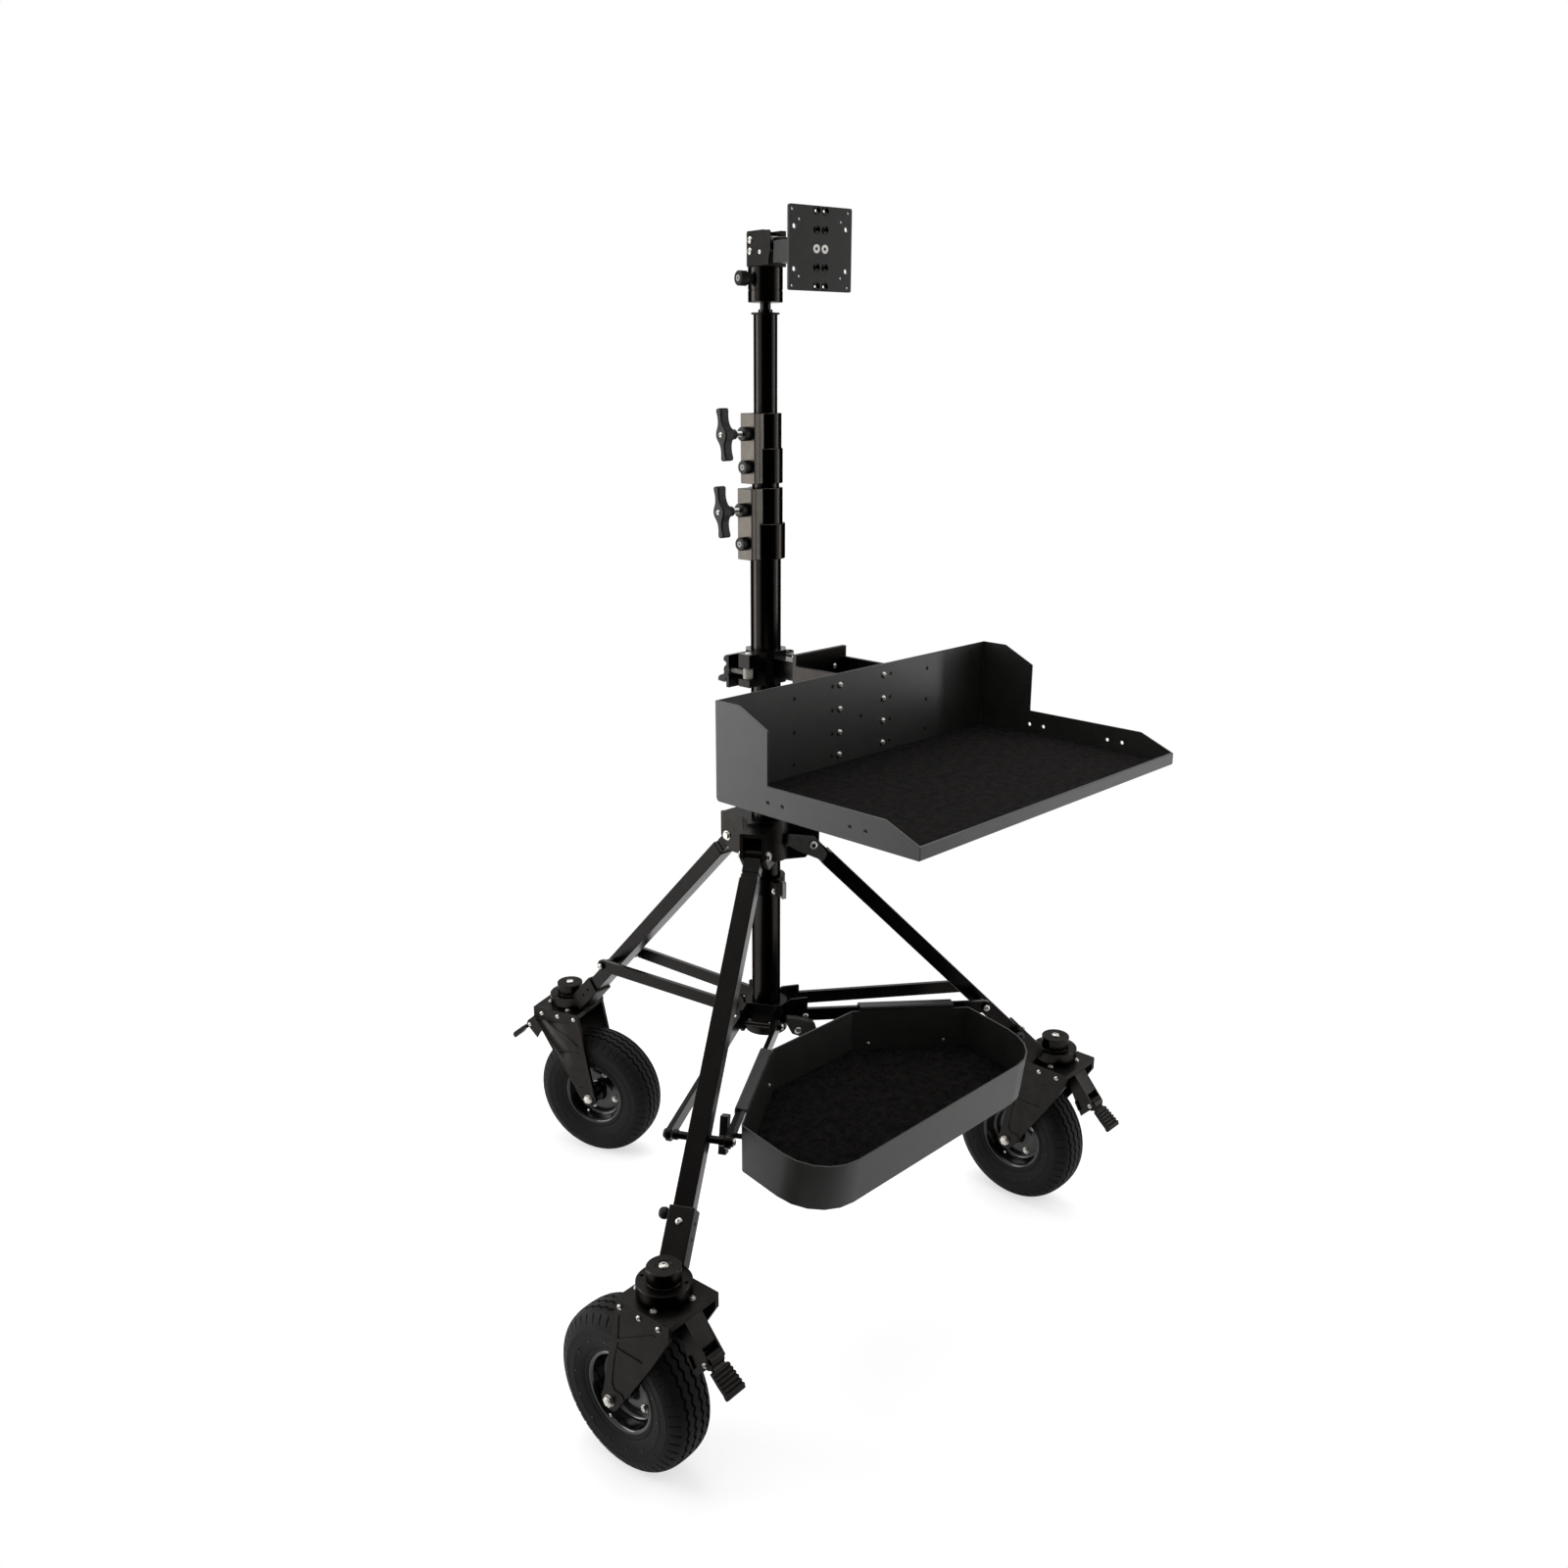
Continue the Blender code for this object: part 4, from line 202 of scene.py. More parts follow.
# Powder coat over sheet: near black, and its broad soft shine makes the outer walls dark grey. The fine
# orange peel is drawn at 0.7 mm because the real 0.3 mm is lost.
SHEET_COAT = finish("dark grey powder coat", "151413", "1e1d1b", 0.42, 0.0, 0.0007, 0.03, 0.2, 0.07)
# The same coat on the monitor plate and its arm, with less shine, so they stay black.
PLATE_COAT = finish("black powder coat", "161514", "201f1d", 0.42, 0.0, 0.0007, 0.02, 0.2, 0.07, gloss=0.3)
# Anodised aluminium of the legs, the arms and the tray clamp: blacker than the mast, with full glints.
LEG_COAT = finish("black anodised leg", "171615", "1e1c1b", 0.28, 1.0, 0.0006, 0.03, 0.03, 0.05)
# Machined and anodised hubs, mounts, tray bracket and tilt block: black with a soft sheen.
CAST_COAT = finish("black anodised hub", "242221", "2d2b29", 0.30, 1.0, 0.0007, 0.02, 0.05, 0.05, glare=0.6)
# Anodised plate of the forks and pedals: black with a soft grey sheen.
STEEL_COAT = finish("black anodised plate", "262423", "302e2c", 0.36, 1.0, 0.0006, 0.02, 0.06, 0.05,
                    glare=0.6)
# Glass-filled nylon of handles and knobs, moulded: dull black with fine spark-eroded grain.
NYLON = finish("black glass-filled nylon", "0f0e0e", "191817", 0.36, 0.0, 0.0005, 0.01, 0.2, 0.07,
               gloss=0.16)
# The same nylon on the hub levers, painted a tone paler so that they read as lit where they sit in shade:
# painted light.
LIT_LEVER_NYLON = finish("black nylon painted paler as lit", "282726", "383735", 0.38, 0.0, 0.0005, 0.01, 0.2, 0.07, gloss=0.35)
# Zinc-plated steel of screws and nuts: bright, with a faint cloudiness.
ZINC = finish("zinc-plated steel", "bfbcb6", "d8d5cf", 0.42, 1.0, 0.0005, 0.004, 0.05, 0.06)
# Painted zinc of the collar lever, the hinge pin's head, the swing bolt and the screws in the knobs:
# plain mid grey, with no metal shine.
CAST_ZINC = finish("grey painted cast zinc", "7d7974", "94908a", 0.38, 0.0, 0.0006, 0.006, 0.15, 0.06)
# Enamel on the pressed wheel: deep gloss black. It also colours dark specks on the tyres' sides, which are
# painted shade standing in for vent holes.
ENAMEL = finish("black wheel enamel", "060606", "0a0a0a", 0.16, 0.0, 0.002, 0.03, 0.03, 0.03)
# Needled polyester felt: dark fibres that trap light, so it has next to no shine. The tufts are drawn
# at 3 mm, because single fibres are too fine to show.
FELT = finish("black needled felt", "020202", "1b1918", 0.95, 0.0, 0.003, 0.012, 0.6, 0.04, gloss=0.05)
# Vulcanised rubber of the tyres: grey-black, dull, dusty in the grain. The same finish colours the dark discs
# in the holes of the tray's back wall, which are painted shade.
RUBBER = finish("black tyre rubber", "080808", "131211", 0.58, 0.0, 0.0009, 0.02, 0.3, 0.08, gloss=0.12)


# Shapes

def to_mesh(bm, outwards=True):
    """Turn a bmesh into a mesh, with its faces pointing out or left as they are."""
    if outwards:
        bmesh.ops.recalc_face_normals(bm, faces=bm.faces)
    mesh = bpy.data.meshes.new("shape")
    bm.to_mesh(mesh)
    bm.free()
    return mesh


def spatial(a, b, along, axis):
    """Point of an outline pair at a distance along the axis that the outline is drawn across."""
    points = {"X": (along, a, b), "Y": (a, along, b), "Z": (a, b, along)}
    return points[axis]


def prism(outline, low, high, axis="Z"):
    """Extrude a flat outline along an axis. The outline holds (y, z), (x, z) or (x, y) pairs."""
    bm = bmesh.new()
    face = bm.faces.new([bm.verts.new(spatial(a, b, low, axis)) for a, b in outline])
    raised = bmesh.ops.extrude_face_region(bm, geom=[face])
    top = [item for item in raised["geom"] if isinstance(item, bmesh.types.BMVert)]
    bmesh.ops.translate(bm, verts=top, vec=spatial(0.0, 0.0, high - low, axis))
    return to_mesh(bm)


def box(low, high):
    """A box between two opposite corners."""
    outline = [(low[0], low[1]), (high[0], low[1]), (high[0], high[1]), (low[0], high[1])]
    return prism(outline, low[2], high[2])


def rod(radius, low, high, axis="Z", centre=(0.0, 0.0), sides=SMALL_ROUND):
    """A round bar along an axis. The centre is given like an outline point."""
    angles = [2.0 * math.pi * (index + 0.5) / sides for index in range(sides)]
    outline = [(centre[0] + radius * math.cos(a), centre[1] + radius * math.sin(a)) for a in angles]
    return prism(outline, low, high, axis)


def turned(profile, sides=ROUND):
    """Spin a closed profile of (radius, height) pairs around the Z axis."""
    bm = bmesh.new()
    points = [bm.verts.new((radius, 0.0, height)) for radius, height in profile]
    edges = []
    for first, second in zip(points, points[1:] + points[:1]):
        if first.co.x > 0.0 or second.co.x > 0.0:
            edges.append(bm.edges.new((first, second)))
    bmesh.ops.spin(bm, geom=points + edges, cent=(0, 0, 0), axis=(0, 0, 1), angle=2.0 * math.pi,
                   steps=sides)
    bmesh.ops.remove_doubles(bm, verts=bm.verts, dist=1e-6)
    bmesh.ops.dissolve_degenerate(bm, edges=bm.edges, dist=1e-7)
    return to_mesh(bm)


def moved(mesh, matrix):
    """Move a mesh and hand it back."""
    mesh.transform(matrix)
    return mesh


def rounded_polygon(points, radii, steps=6):
    """Replace each corner of a polygon by an arc that touches both sides."""
    result = []
    count = len(points)
    for index, corner in enumerate(points):
        here = Vector(corner)
        to_before = (Vector(points[index - 1]) - here).normalized()
        to_after = (Vector(points[(index + 1) % count]) - here).normalized()
        half = to_before.angle(to_after) / 2.0
        middle = (to_before + to_after).normalized()
        centre = here + middle * (radii[index] / math.sin(half))
        start = here + to_before * (radii[index] / math.tan(half)) - centre
        end = here + to_after * (radii[index] / math.tan(half)) - centre
        swing = math.atan2(start.x * end.y - start.y * end.x, start.dot(end))
        for step in range(steps + 1):
            angle = swing * step / steps
            x = start.x * math.cos(angle) - start.y * math.sin(angle)
            y = start.x * math.sin(angle) + start.y * math.cos(angle)
            result.append((centre.x + x, centre.y + y))
    return result


def taken_from(holder, *helpers):
    """The finished mesh of a work object, which is removed with its helpers."""
    bpy.context.view_layer.update()
    result = bpy.data.meshes.new_from_object(holder.evaluated_get(bpy.context.evaluated_depsgraph_get()))
    for item in (holder, *helpers):
        bpy.data.objects.remove(item, do_unlink=True)
    return result


def evaluated(mesh, helpers, *modifiers):
    """The mesh after modifiers, each given as a kind and its settings."""
    holder = add_object("work", mesh)
    for kind, settings in modifiers:
        modifier = holder.modifiers.new(kind.lower(), kind)
        for key, value in settings.items():
            setattr(modifier, key, value)
    return taken_from(holder, *helpers)


def boolean(base, others, operation):
    """Join to, cut from or cross with a solid, with exact Booleans run one after the other."""
    helpers = [add_object("tool", other) for other in others]
    steps = [("BOOLEAN", {"operation": operation, "solver": "EXACT", "object": helper})
             for helper in helpers]
    return evaluated(base, helpers, *steps)


def join(base, *others):
    """Union of solids that meet."""
    return boolean(base, others, "UNION")


def cut(base, *others):
    """The first solid without the others. Several cutters that don't meet act as one."""
    return boolean(base, [gathered(*others)], "DIFFERENCE")


def gathered(*meshes):
    """Several meshes as one mesh, left as separate shells."""
    bm = bmesh.new()
    for mesh in meshes:
        bm.from_mesh(mesh)
    return to_mesh(bm, outwards=False)


def closed(mesh):
    """Merge the seams of a shape that is whole, and point its faces out."""
    bm = bmesh.new()
    bm.from_mesh(mesh)
    bmesh.ops.remove_doubles(bm, verts=bm.verts, dist=1e-5)
    return to_mesh(bm)


def from_cad(node):
    """A merged copy of a CAD node's mesh, with its flat faces whole."""
    bm = bmesh.new()
    bm.from_mesh(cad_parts[node].data)
    bm.transform(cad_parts[node].matrix_world)
    bmesh.ops.remove_doubles(bm, verts=bm.verts, dist=1e-5)
    bmesh.ops.dissolve_limit(bm, angle_limit=math.radians(0.5), verts=bm.verts, edges=bm.edges)
    return to_mesh(bm, outwards=False)


def soften(mesh, width=0.0005, segments=2, angle=34.0):
    """Round the sharp edges, as a deburred or coated edge is."""
    settings = {"width": width, "segments": segments, "limit_method": "ANGLE", "use_clamp_overlap": True,
                "angle_limit": math.radians(angle), "miter_outer": "MITER_ARC", "harden_normals": False}
    return evaluated(mesh, [], ("BEVEL", settings))


def place(name, mesh, body, slot, material, *nodes):
    """A finished piece of the object, which rides on a body and may stand for CAD nodes."""
    mesh.shade_smooth()
    mesh.set_sharp_from_angle(angle=math.radians(40))
    mesh = evaluated(mesh, [], ("WEIGHTED_NORMAL", {"keep_sharp": True}))
    mesh.name = name
    mesh.materials.clear()
    mesh.materials.append(material)
    mesh.polygons.foreach_set("material_index", [0] * len(mesh.polygons))
    item = add_object(name, mesh)
    if nodes:
        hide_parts(*nodes)
    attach(item, body)


def place_softened(name, node, width, steps, body, slot, material):
    """A CAD node's own shape with its edges rounded."""
    place(name, soften(from_cad(node), width, steps), body, slot, material, node)


# Geometry Nodes: what repeats

def copies_tree(name, sockets, lay_out, merge=False):
    """A tree that sets copies of a shape on the points of lay_out, makes them real and finishes them."""
    tree = bpy.data.node_groups.new(name, "GeometryNodeTree")
    tree.interface.new_socket("Geometry", in_out="INPUT", socket_type="NodeSocketGeometry")
    for label, kind in (("Shape", "Object"), *sockets, ("Finish", "Material")):
        tree.interface.new_socket(label, in_out="INPUT", socket_type="NodeSocket" + kind)
    tree.interface.new_socket("Geometry", in_out="OUTPUT", socket_type="NodeSocketGeometry")
    entry = add_node(tree, "NodeGroupInput")
    shape = add_node(tree, "GeometryNodeObjectInfo", {"Object": entry.outputs["Shape"]})
    copies = add_node(tree, "GeometryNodeInstanceOnPoints", {
        "Instance": shape.outputs["Geometry"], **lay_out(tree, entry)})
    whole = add_node(tree, "GeometryNodeRealizeInstances", {"Geometry": copies.outputs[0]})
    if merge:
        whole = add_node(tree, "GeometryNodeMergeByDistance", {
            "Geometry": whole.outputs[0], "Distance": 0.00001})
    painted = add_node(tree, "GeometryNodeSetMaterial", {
        "Geometry": whole.outputs[0], "Material": entry.outputs["Finish"]})
    add_node(tree, "NodeGroupOutput", {"Geometry": painted.outputs[0]})
    return tree


def around(tree, entry):
    """Points at the origin, each turned one share of a full turn further around Z."""
    points = add_node(tree, "GeometryNodePoints", {"Count": entry.outputs["Count"]})
    number = add_node(tree, "GeometryNodeInputIndex")
    part = add_node(tree, "ShaderNodeMath", {
        0: number.outputs[0], 1: entry.outputs["Count"]}, operation="DIVIDE")
    angle = add_node(tree, "ShaderNodeMath", {0: part.outputs[0], 1: 2.0 * math.pi}, operation="MULTIPLY")
    facing = add_node(tree, "ShaderNodeCombineXYZ", {"Z": angle.outputs[0]})
    return {"Points": points.outputs[0], "Rotation": facing.outputs[0]}


def in_row(tree, entry):
    """Points in a straight row, a fixed step apart."""
    line = add_node(tree, "GeometryNodeMeshLine", {
        "Count": entry.outputs["Count"], "Offset": entry.outputs["Step"]})
    return {"Points": line.outputs[0]}


def as_marked(tree, entry):
    """The base's own points, each with the facing and the size that it is marked with."""
    facing = add_node(tree, "GeometryNodeInputNamedAttribute", {"Name": "facing"}, data_type="FLOAT_VECTOR")
    size = add_node(tree, "GeometryNodeInputNamedAttribute", {"Name": "size"}, data_type="FLOAT")
    aim = add_node(tree, "FunctionNodeAlignRotationToVector", {"Vector": facing.outputs[0]}, axis="Z")
    return {"Points": entry.outputs["Geometry"], "Rotation": aim.outputs[0], "Scale": size.outputs[0]}


RING = copies_tree("ring", [("Count", "Int")], around, merge=True)
ROW = copies_tree("row", [("Count", "Int"), ("Step", "Vector")], in_row)
SCATTER = copies_tree("fasteners", [], as_marked)


def grown(tree, base, shape, material, **values):
    """Run a geometry tree over a base mesh and hand back the plain result."""
    holder = add_object("holder", base)
    master = add_object("master", shape)
    modifier = holder.modifiers.new("nodes", "NODES")
    modifier.node_group = tree
    named = {"Shape": master, "Finish": material, **values}
    for item in tree.interface.items_tree:
        if item.in_out == "INPUT" and item.name in named:
            modifier[item.identifier] = named[item.name]
    return taken_from(holder, master)


def ring_of(shape, count, material):
    """A shape repeated around the Z axis, its seams closed."""
    return grown(RING, bpy.data.meshes.new("none"), shape, material, Count=count)


def row_of(shape, count, step, material):
    """A shape repeated along a straight line."""
    return grown(ROW, bpy.data.meshes.new("none"), shape, material, Count=count, Step=step)


def head_shape(kind):
    """A screw head of radius 1 on the plane z = 0: button, flat, or hex on its washer."""
    if kind == "hex":
        washer = [(0.0, -0.3), (1.25, -0.3), (1.25, 0.14), (0.0, 0.14)]
        nut = [(0.0, 0.1), (1.0, 0.1), (1.0, 0.62), (0.86, 0.74), (0.0, 0.74)]
        return gathered(turned(washer, 24), turned(nut, 6))
    if kind == "flat":
        profile = [(0.0, -0.4), (0.8, -0.4), (1.0, 0.02), (0.0, 0.02)]
        socket_floor = -0.25
    else:
        profile = [(0.0, -0.3), (1.0, -0.3), (1.0, 0.12), (0.93, 0.3), (0.75, 0.46), (0.5, 0.55),
                   (0.0, 0.55)]
        socket_floor = 0.25
    return cut(turned(profile, 24), rod(0.42, socket_floor, 2.0, sides=6))


def carried(matrix, rows):
    """Rows of a place, a facing and a radius, moved by a matrix."""
    spin = matrix.to_3x3()
    return [(matrix @ Vector(point), spin @ Vector(facing), size) for point, facing, size in rows]


def fasteners(name, body, kind, rows, matrix=Matrix.Identity(4), material=ZINC):
    """Screw heads of one kind on one body, each given as its place, its facing and its radius."""
    rows = carried(matrix, rows)
    base = bpy.data.meshes.new("points")
    base.from_pydata([point for point, facing, size in rows], [], [])
    facings = [part for point, facing, size in rows for part in facing]
    base.attributes.new("facing", "FLOAT_VECTOR", "POINT").data.foreach_set("vector", facings)
    sizes = [size for point, facing, size in rows]
    base.attributes.new("size", "FLOAT", "POINT").data.foreach_set("value", sizes)
    mesh = grown(SCATTER, base, head_shape(kind), material)
    place(name, mesh, body, "bright_steel", material)


def knurled(radius, low, high, count, depth):
    """A round knob along Z with ridges around it."""
    chamfer = 0.0012
    core = turned([(0.0, low), (radius - chamfer, low), (radius - depth, low + chamfer),
                   (radius - depth, high - chamfer), (radius - chamfer, high), (0.0, high)], count * 2)
    half = math.pi / count * 0.55
    inner = radius - 2.0 * depth
    foot_x, foot_y = inner * math.cos(half * 1.4), inner * math.sin(half * 1.4)
    crest_x, crest_y = radius * math.cos(half * 0.5), radius * math.sin(half * 0.5)
    outline = [(foot_x, -foot_y), (crest_x, -crest_y), (crest_x, crest_y), (foot_x, foot_y)]
    ridge = prism(outline, low + chamfer * 0.7, high - chamfer * 0.7)
    return gathered(core, ring_of(ridge, count, NYLON))


# Mast

def dress_tubes():
    """The three telescoping tubes, with their rounded ends. The top one has its end cap and spigot."""
    column = [(0.0216, 0.447), (0.0234, 0.447), (0.024, 0.4476), (0.024, 1.3082), (0.0235, 1.3087),
              (0.0216, 1.3087)]
    middle = [(0.0185, 0.620), (0.0205, 0.620), (0.021, 0.6205), (0.021, 1.4212), (0.0205, 1.4217),
              (0.0185, 1.4217)]
    top = [(0.0155, 0.760), (0.0175, 0.760), (0.018, 0.7605), (0.018, 1.616), (0.0209, 1.616),
           (0.0215, 1.6166), (0.0215, 1.6179), (0.0209, 1.6185), (0.0107, 1.6185), (0.0107, 1.623),
           (0.008, 1.623), (0.008, 1.6752), (0.0072, 1.676), (0.0, 1.676), (0.0, 1.606), (0.0155, 1.606)]
    for name, body, profile in (("column", "mast", column), ("middle", "riser", middle), ("top", "top", top)):
        place(f"{name}_tube_body", moved(turned(profile), MAST), body, "tube_paint", TUBE, f"{name}_tube")


def clamp_shape(joint_z, rise, radii, bores, block, handle_z, screw_z, slit_x):
    """Stepped split ring and, apart from it, the block with its slit and screw holes."""
    low, high = joint_z - rise, joint_z + rise
    edge = 0.0006
    sunk = 0.0008
    past = 0.01
    ring = turned([
        (bores[0], low), (radii[0] - edge, low), (radii[0], low + edge), (radii[0], joint_z - edge),
        (radii[0] - edge, joint_z), (radii[1], joint_z), (radii[1], high - edge), (radii[1] - edge, high),
        (bores[1], high), (bores[1], joint_z), (bores[0], joint_z)])
    block_end, block_start, half = block
    side = soften(box((block_end, -half, low), (block_start, half, high)), 0.0012, 3)
    seat = [radius - sunk for radius in radii]
    side = cut(side, turned([(0.0, low - past), (seat[0], low - past), (seat[0], joint_z),
                             (seat[1], joint_z), (seat[1], high + past), (0.0, high + past)]))
    half_slit = 0.0006
    slit = box((slit_x - half_slit, -0.05, low - past), (slit_x + half_slit, 0.008, high + past))
    holes = [rod(0.0045, block_end - past, block_end + 0.0123, "X", (0.0, handle_z)),
             rod(0.0033, block_end - past, block_end + 0.0103, "X", (0.0, screw_z))]
    return cut(ring, slit, *holes), cut(side, slit, *holes)


def handle_shape(block_end):
    """T-handle with a waisted grip and a round hub, drawn along X, with the ends of its boss and grip."""
    boss_end = block_end - 0.013
    cone_start = boss_end - 0.014
    bar_start = cone_start - 0.012
    bar_end = bar_start - 0.0165
    half = [(0.0, 0.0117), (0.0030, 0.0114), (0.0060, 0.0104), (0.0090, 0.0088), (0.0125, 0.0068),
            (0.0160, 0.0055), (0.0200, 0.0048), (0.0250, 0.0047), (0.0290, 0.0052), (0.0325, 0.0059),
            (0.0350, 0.0061), (0.0370, 0.0056), (0.0381, 0.0042), (0.0385, 0.0022)]
    upper = [(wide, along) for along, wide in half]
    lower = [(wide, -along) for along, wide in reversed(half[1:])]
    outline = lower + upper
    outline += [(-across, -along) for across, along in outline]
    bar = soften(prism(outline, bar_end, bar_start, "X"), 0.0024, 4, 50.0)
    bar = moved(bar, turn(-8.0, "X"))
    hub = turned([(0.0, 0.0), (0.0070, 0.0), (0.0076, 0.0008), (0.0066, 0.003), (0.0068, 0.0058),
                  (0.0104, 0.0098), (0.011, 0.0108), (0.011, 0.013), (0.0, 0.013)], 48)
    hub = moved(hub, shift(cone_start) @ ALONG_MINUS_X)
    return gathered(bar, hub), boss_end, bar_end


def dress_mast_clamp(name, body, joint_z, rise, radii, bores, block, handle_z, screw_z, slit_x):
    """One mast clamp with boss, T-handle, thread and small screw."""
    clamp = f"{name}_clamp"
    handle_body = f"{name}_handle"
    screw_body = f"{name}_screw"
    ring, side = clamp_shape(joint_z, rise, radii, bores, block, handle_z, screw_z, slit_x)
    place(f"{clamp}_ring", moved(ring, MAST), body, "black_casting", TUBE, clamp)
    place(f"{clamp}_block", moved(side, MAST), body, "black_casting", ANODISED)
    end = block[0]
    at_handle = MAST @ shift(z=handle_z)
    at_screw = MAST @ shift(end, 0.0, screw_z)
    boss = moved(knurled(0.0105, 0.0, 0.0135, 24, 0.0006), at_handle @ shift(end + 0.0005) @ ALONG_MINUS_X)
    place(f"{clamp}_boss", boss, body, "black_plastic", NYLON)
    handle, boss_end, bar_end = handle_shape(end)
    place(f"{clamp}_grip", moved(handle, at_handle), handle_body, "black_plastic", NYLON, f"{clamp}_handle")
    pitch = 0.00125
    one_turn = turned([(0.0, 0.0), (0.0033, 0.0), (0.004, 0.0005), (0.0033, pitch), (0.0, pitch)], 24)
    thread = row_of(one_turn, 12, (0.0, 0.0, pitch), ZINC)
    thread = moved(thread, at_handle @ shift(boss_end - 0.0002) @ ALONG_MINUS_X)
    place(f"{clamp}_thread", thread, handle_body, "bright_steel", ZINC)
    fasteners(f"{clamp}_grip_screw", handle_body, "button",
              [((bar_end + 0.0006, 0.0, 0.0), (-1, 0, 0), 0.0042)], at_handle)
    knob = moved(knurled(0.01025, 0.0003, 0.0112, 28, 0.0005), at_screw @ ALONG_MINUS_X)
    place(f"{clamp}_knob", knob, screw_body, "black_plastic", NYLON, f"{clamp}_screw")
    fasteners(f"{clamp}_knob_screw", screw_body, "flat",
              [((-0.0114, 0.0, 0.0), (-1, 0, 0), 0.0044)], at_screw, CAST_ZINC)


def dress_mast_clamps():
    """The clamp on the column and the one on the riser above it."""
    dress_mast_clamp("column", "mast", joint_z=1.309, rise=0.054, radii=(0.0305, 0.0265),
                     bores=(0.0243, 0.0213), block=(-0.046, -0.018, 0.0155), handle_z=1.331,
                     screw_z=1.280, slit_x=-0.037)
    dress_mast_clamp("riser", "riser", joint_z=1.422, rise=0.052, radii=(0.0265, 0.0245),
                     bores=(0.0213, 0.0183), block=(-0.039, -0.018, 0.0153), handle_z=1.444,
                     screw_z=1.395, slit_x=-0.028)


# Head

def dress_head():
    """Socket, knob, tilt block and tilting arm."""
    socket = turned([(0.0083, 1.633), (0.0252, 1.633), (0.026, 1.6338), (0.026, 1.6485), (0.0254, 1.649),
                     (0.0254, 1.6505), (0.026, 1.651), (0.026, 1.6812), (0.0252, 1.682), (0.0, 1.682),
                     (0.0, 1.6763), (0.0083, 1.6763)])
    place("head_socket_body", moved(socket, HEAD), "head", "black_casting", TUBE, "head_socket")
    at_knob = HEAD @ shift(-0.0263, 0.0, 1.6655)
    disc = knurled(0.01075, 0.009, 0.0235, 30, 0.0006)
    neck = turned([(0.0, 0.0), (0.0068, 0.0), (0.0068, 0.0085), (0.0078, 0.0095), (0.0, 0.0095)], 48)
    knob = moved(gathered(disc, neck), at_knob @ ALONG_MINUS_X)
    place("socket_knob_body", knob, "head_knob", "black_plastic", NYLON, "socket_knob")
    fasteners("socket_knob_screw", "head_knob", "flat", [((-0.0237, 0.0, 0.0), (-1, 0, 0), 0.0046)],
              at_knob, CAST_ZINC)

    gaps = gathered(box((-0.0223, -0.0225, 1.7305), (-0.0212, 0.014, 1.7325)),
                    box((-0.0125, -0.046, 1.7245), (0.0125, 0.0, 1.735)))
    block = soften(cut(from_cad("tilt_block"), moved(gaps, HEAD)), 0.0009, 3)
    place("tilt_block_body", block, "head", "black_casting", CAST_COAT, "tilt_block")
    outline = [(-0.043, 1.704), (-0.0385, 1.6905), (-0.0385, 1.683), (0.0155, 1.683), (0.0155, 1.7305),
               (-0.043, 1.7305)]
    outline = rounded_polygon(outline, [0.004, 0.004, 0.001, 0.001, 0.002, 0.004])
    side_plate = soften(prism(outline, -0.0232, -0.0215, "X"), 0.0005)
    place("tilt_block_side_plate", moved(side_plate, HEAD), "head", "black_casting", CAST_COAT)
    fasteners("tilt_block_screws", "head", "button", [
        ((side * 0.0232, 0.0060, z), (side, 0, 0), 0.0052)
        for side in (-1, 1) for z in (1.7190, 1.7035)], HEAD)
    fasteners("tilt_block_set_screws", "head", "flat", [
        ((-0.0233, -0.017, 1.7015), (-1, 0, 0), 0.0030), ((0.0221, -0.030, 1.711), (1, 0, 0), 0.0052)], HEAD)
    place_softened("tilt_arm_body", "tilt_arm", 0.0012, 3, "monitor_arm", "black_casting", PLATE_COAT)


def dress_monitor_plate():
    """The plate with its 75 mm and 100 mm hole patterns, side holes, and two columns of countersinks, each
    lined with a near-black shell that is painted shade.
    """
    middle_x, middle_z = PLATE_CENTRE
    half = 0.0563
    corners = [(middle_x + x * half, middle_z + z * half) for x, z in ((-1, -1), (1, -1), (1, 1), (-1, 1))]
    outline = rounded_polygon(corners, [0.003] * 4)
    holes = [(0.00225, x, z, 16) for half_pattern in (0.0375, 0.05)
             for x in (-half_pattern, half_pattern) for z in (-half_pattern, half_pattern)]
    holes += [(0.0036, x, z, 20) for x in (-0.0465, 0.0465) for z in (-0.028, 0.028)]
    cutters = [rod(radius, -0.13, -0.11, "Y", (middle_x + x, middle_z + z), sides)
               for radius, x, z, sides in holes]
    # Thin near-black linings in the countersinks: painted shade in these recesses.
    sink_lining_profile = [(0.0018, -0.0036), (0.0064, -0.0036), (0.0064, -0.0001), (0.0058, -0.0001),
                   (0.0020, -0.0026), (0.0018, -0.0030)]
    sink_shade_linings = []
    for x in (-0.0075, 0.0075):
        for z in (0.050, 0.025, -0.025, -0.050):
            at_sink = shift(middle_x + x, -0.125, middle_z + z) @ turn(90.0, "X")
            sink = turned([(0.0, -0.02), (0.0064, -0.02), (0.0064, 0.01), (0.0, 0.01)], 32)
            cutters.append(moved(sink, at_sink))
            sink_shade_linings.append(moved(turned(sink_lining_profile, 32), at_sink))
    plate = soften(cut(prism(outline, -0.125, -0.121, "Y"), *cutters), 0.0003)
    place("monitor_plate_body", moved(plate, HEAD), "monitor_arm", "black_casting", PLATE_COAT,
          "monitor_plate")
    # The linings, trimmed to the plate: painted shade in the countersinks.
    sink_shade_linings = boolean(gathered(*sink_shade_linings), [prism(outline, -0.13, -0.11, "Y")], "INTERSECT")
    place("monitor_plate_cups", moved(sink_shade_linings, HEAD), "monitor_arm", "black_casting", TUBE)
    fasteners("monitor_plate_screws", "monitor_arm", "flat", [
        ((middle_x + x, -0.1251, middle_z), (0, -1, 0), 0.0060) for x in (-0.0075, 0.0075)], HEAD)


# Tray clamp, bracket and upper tray

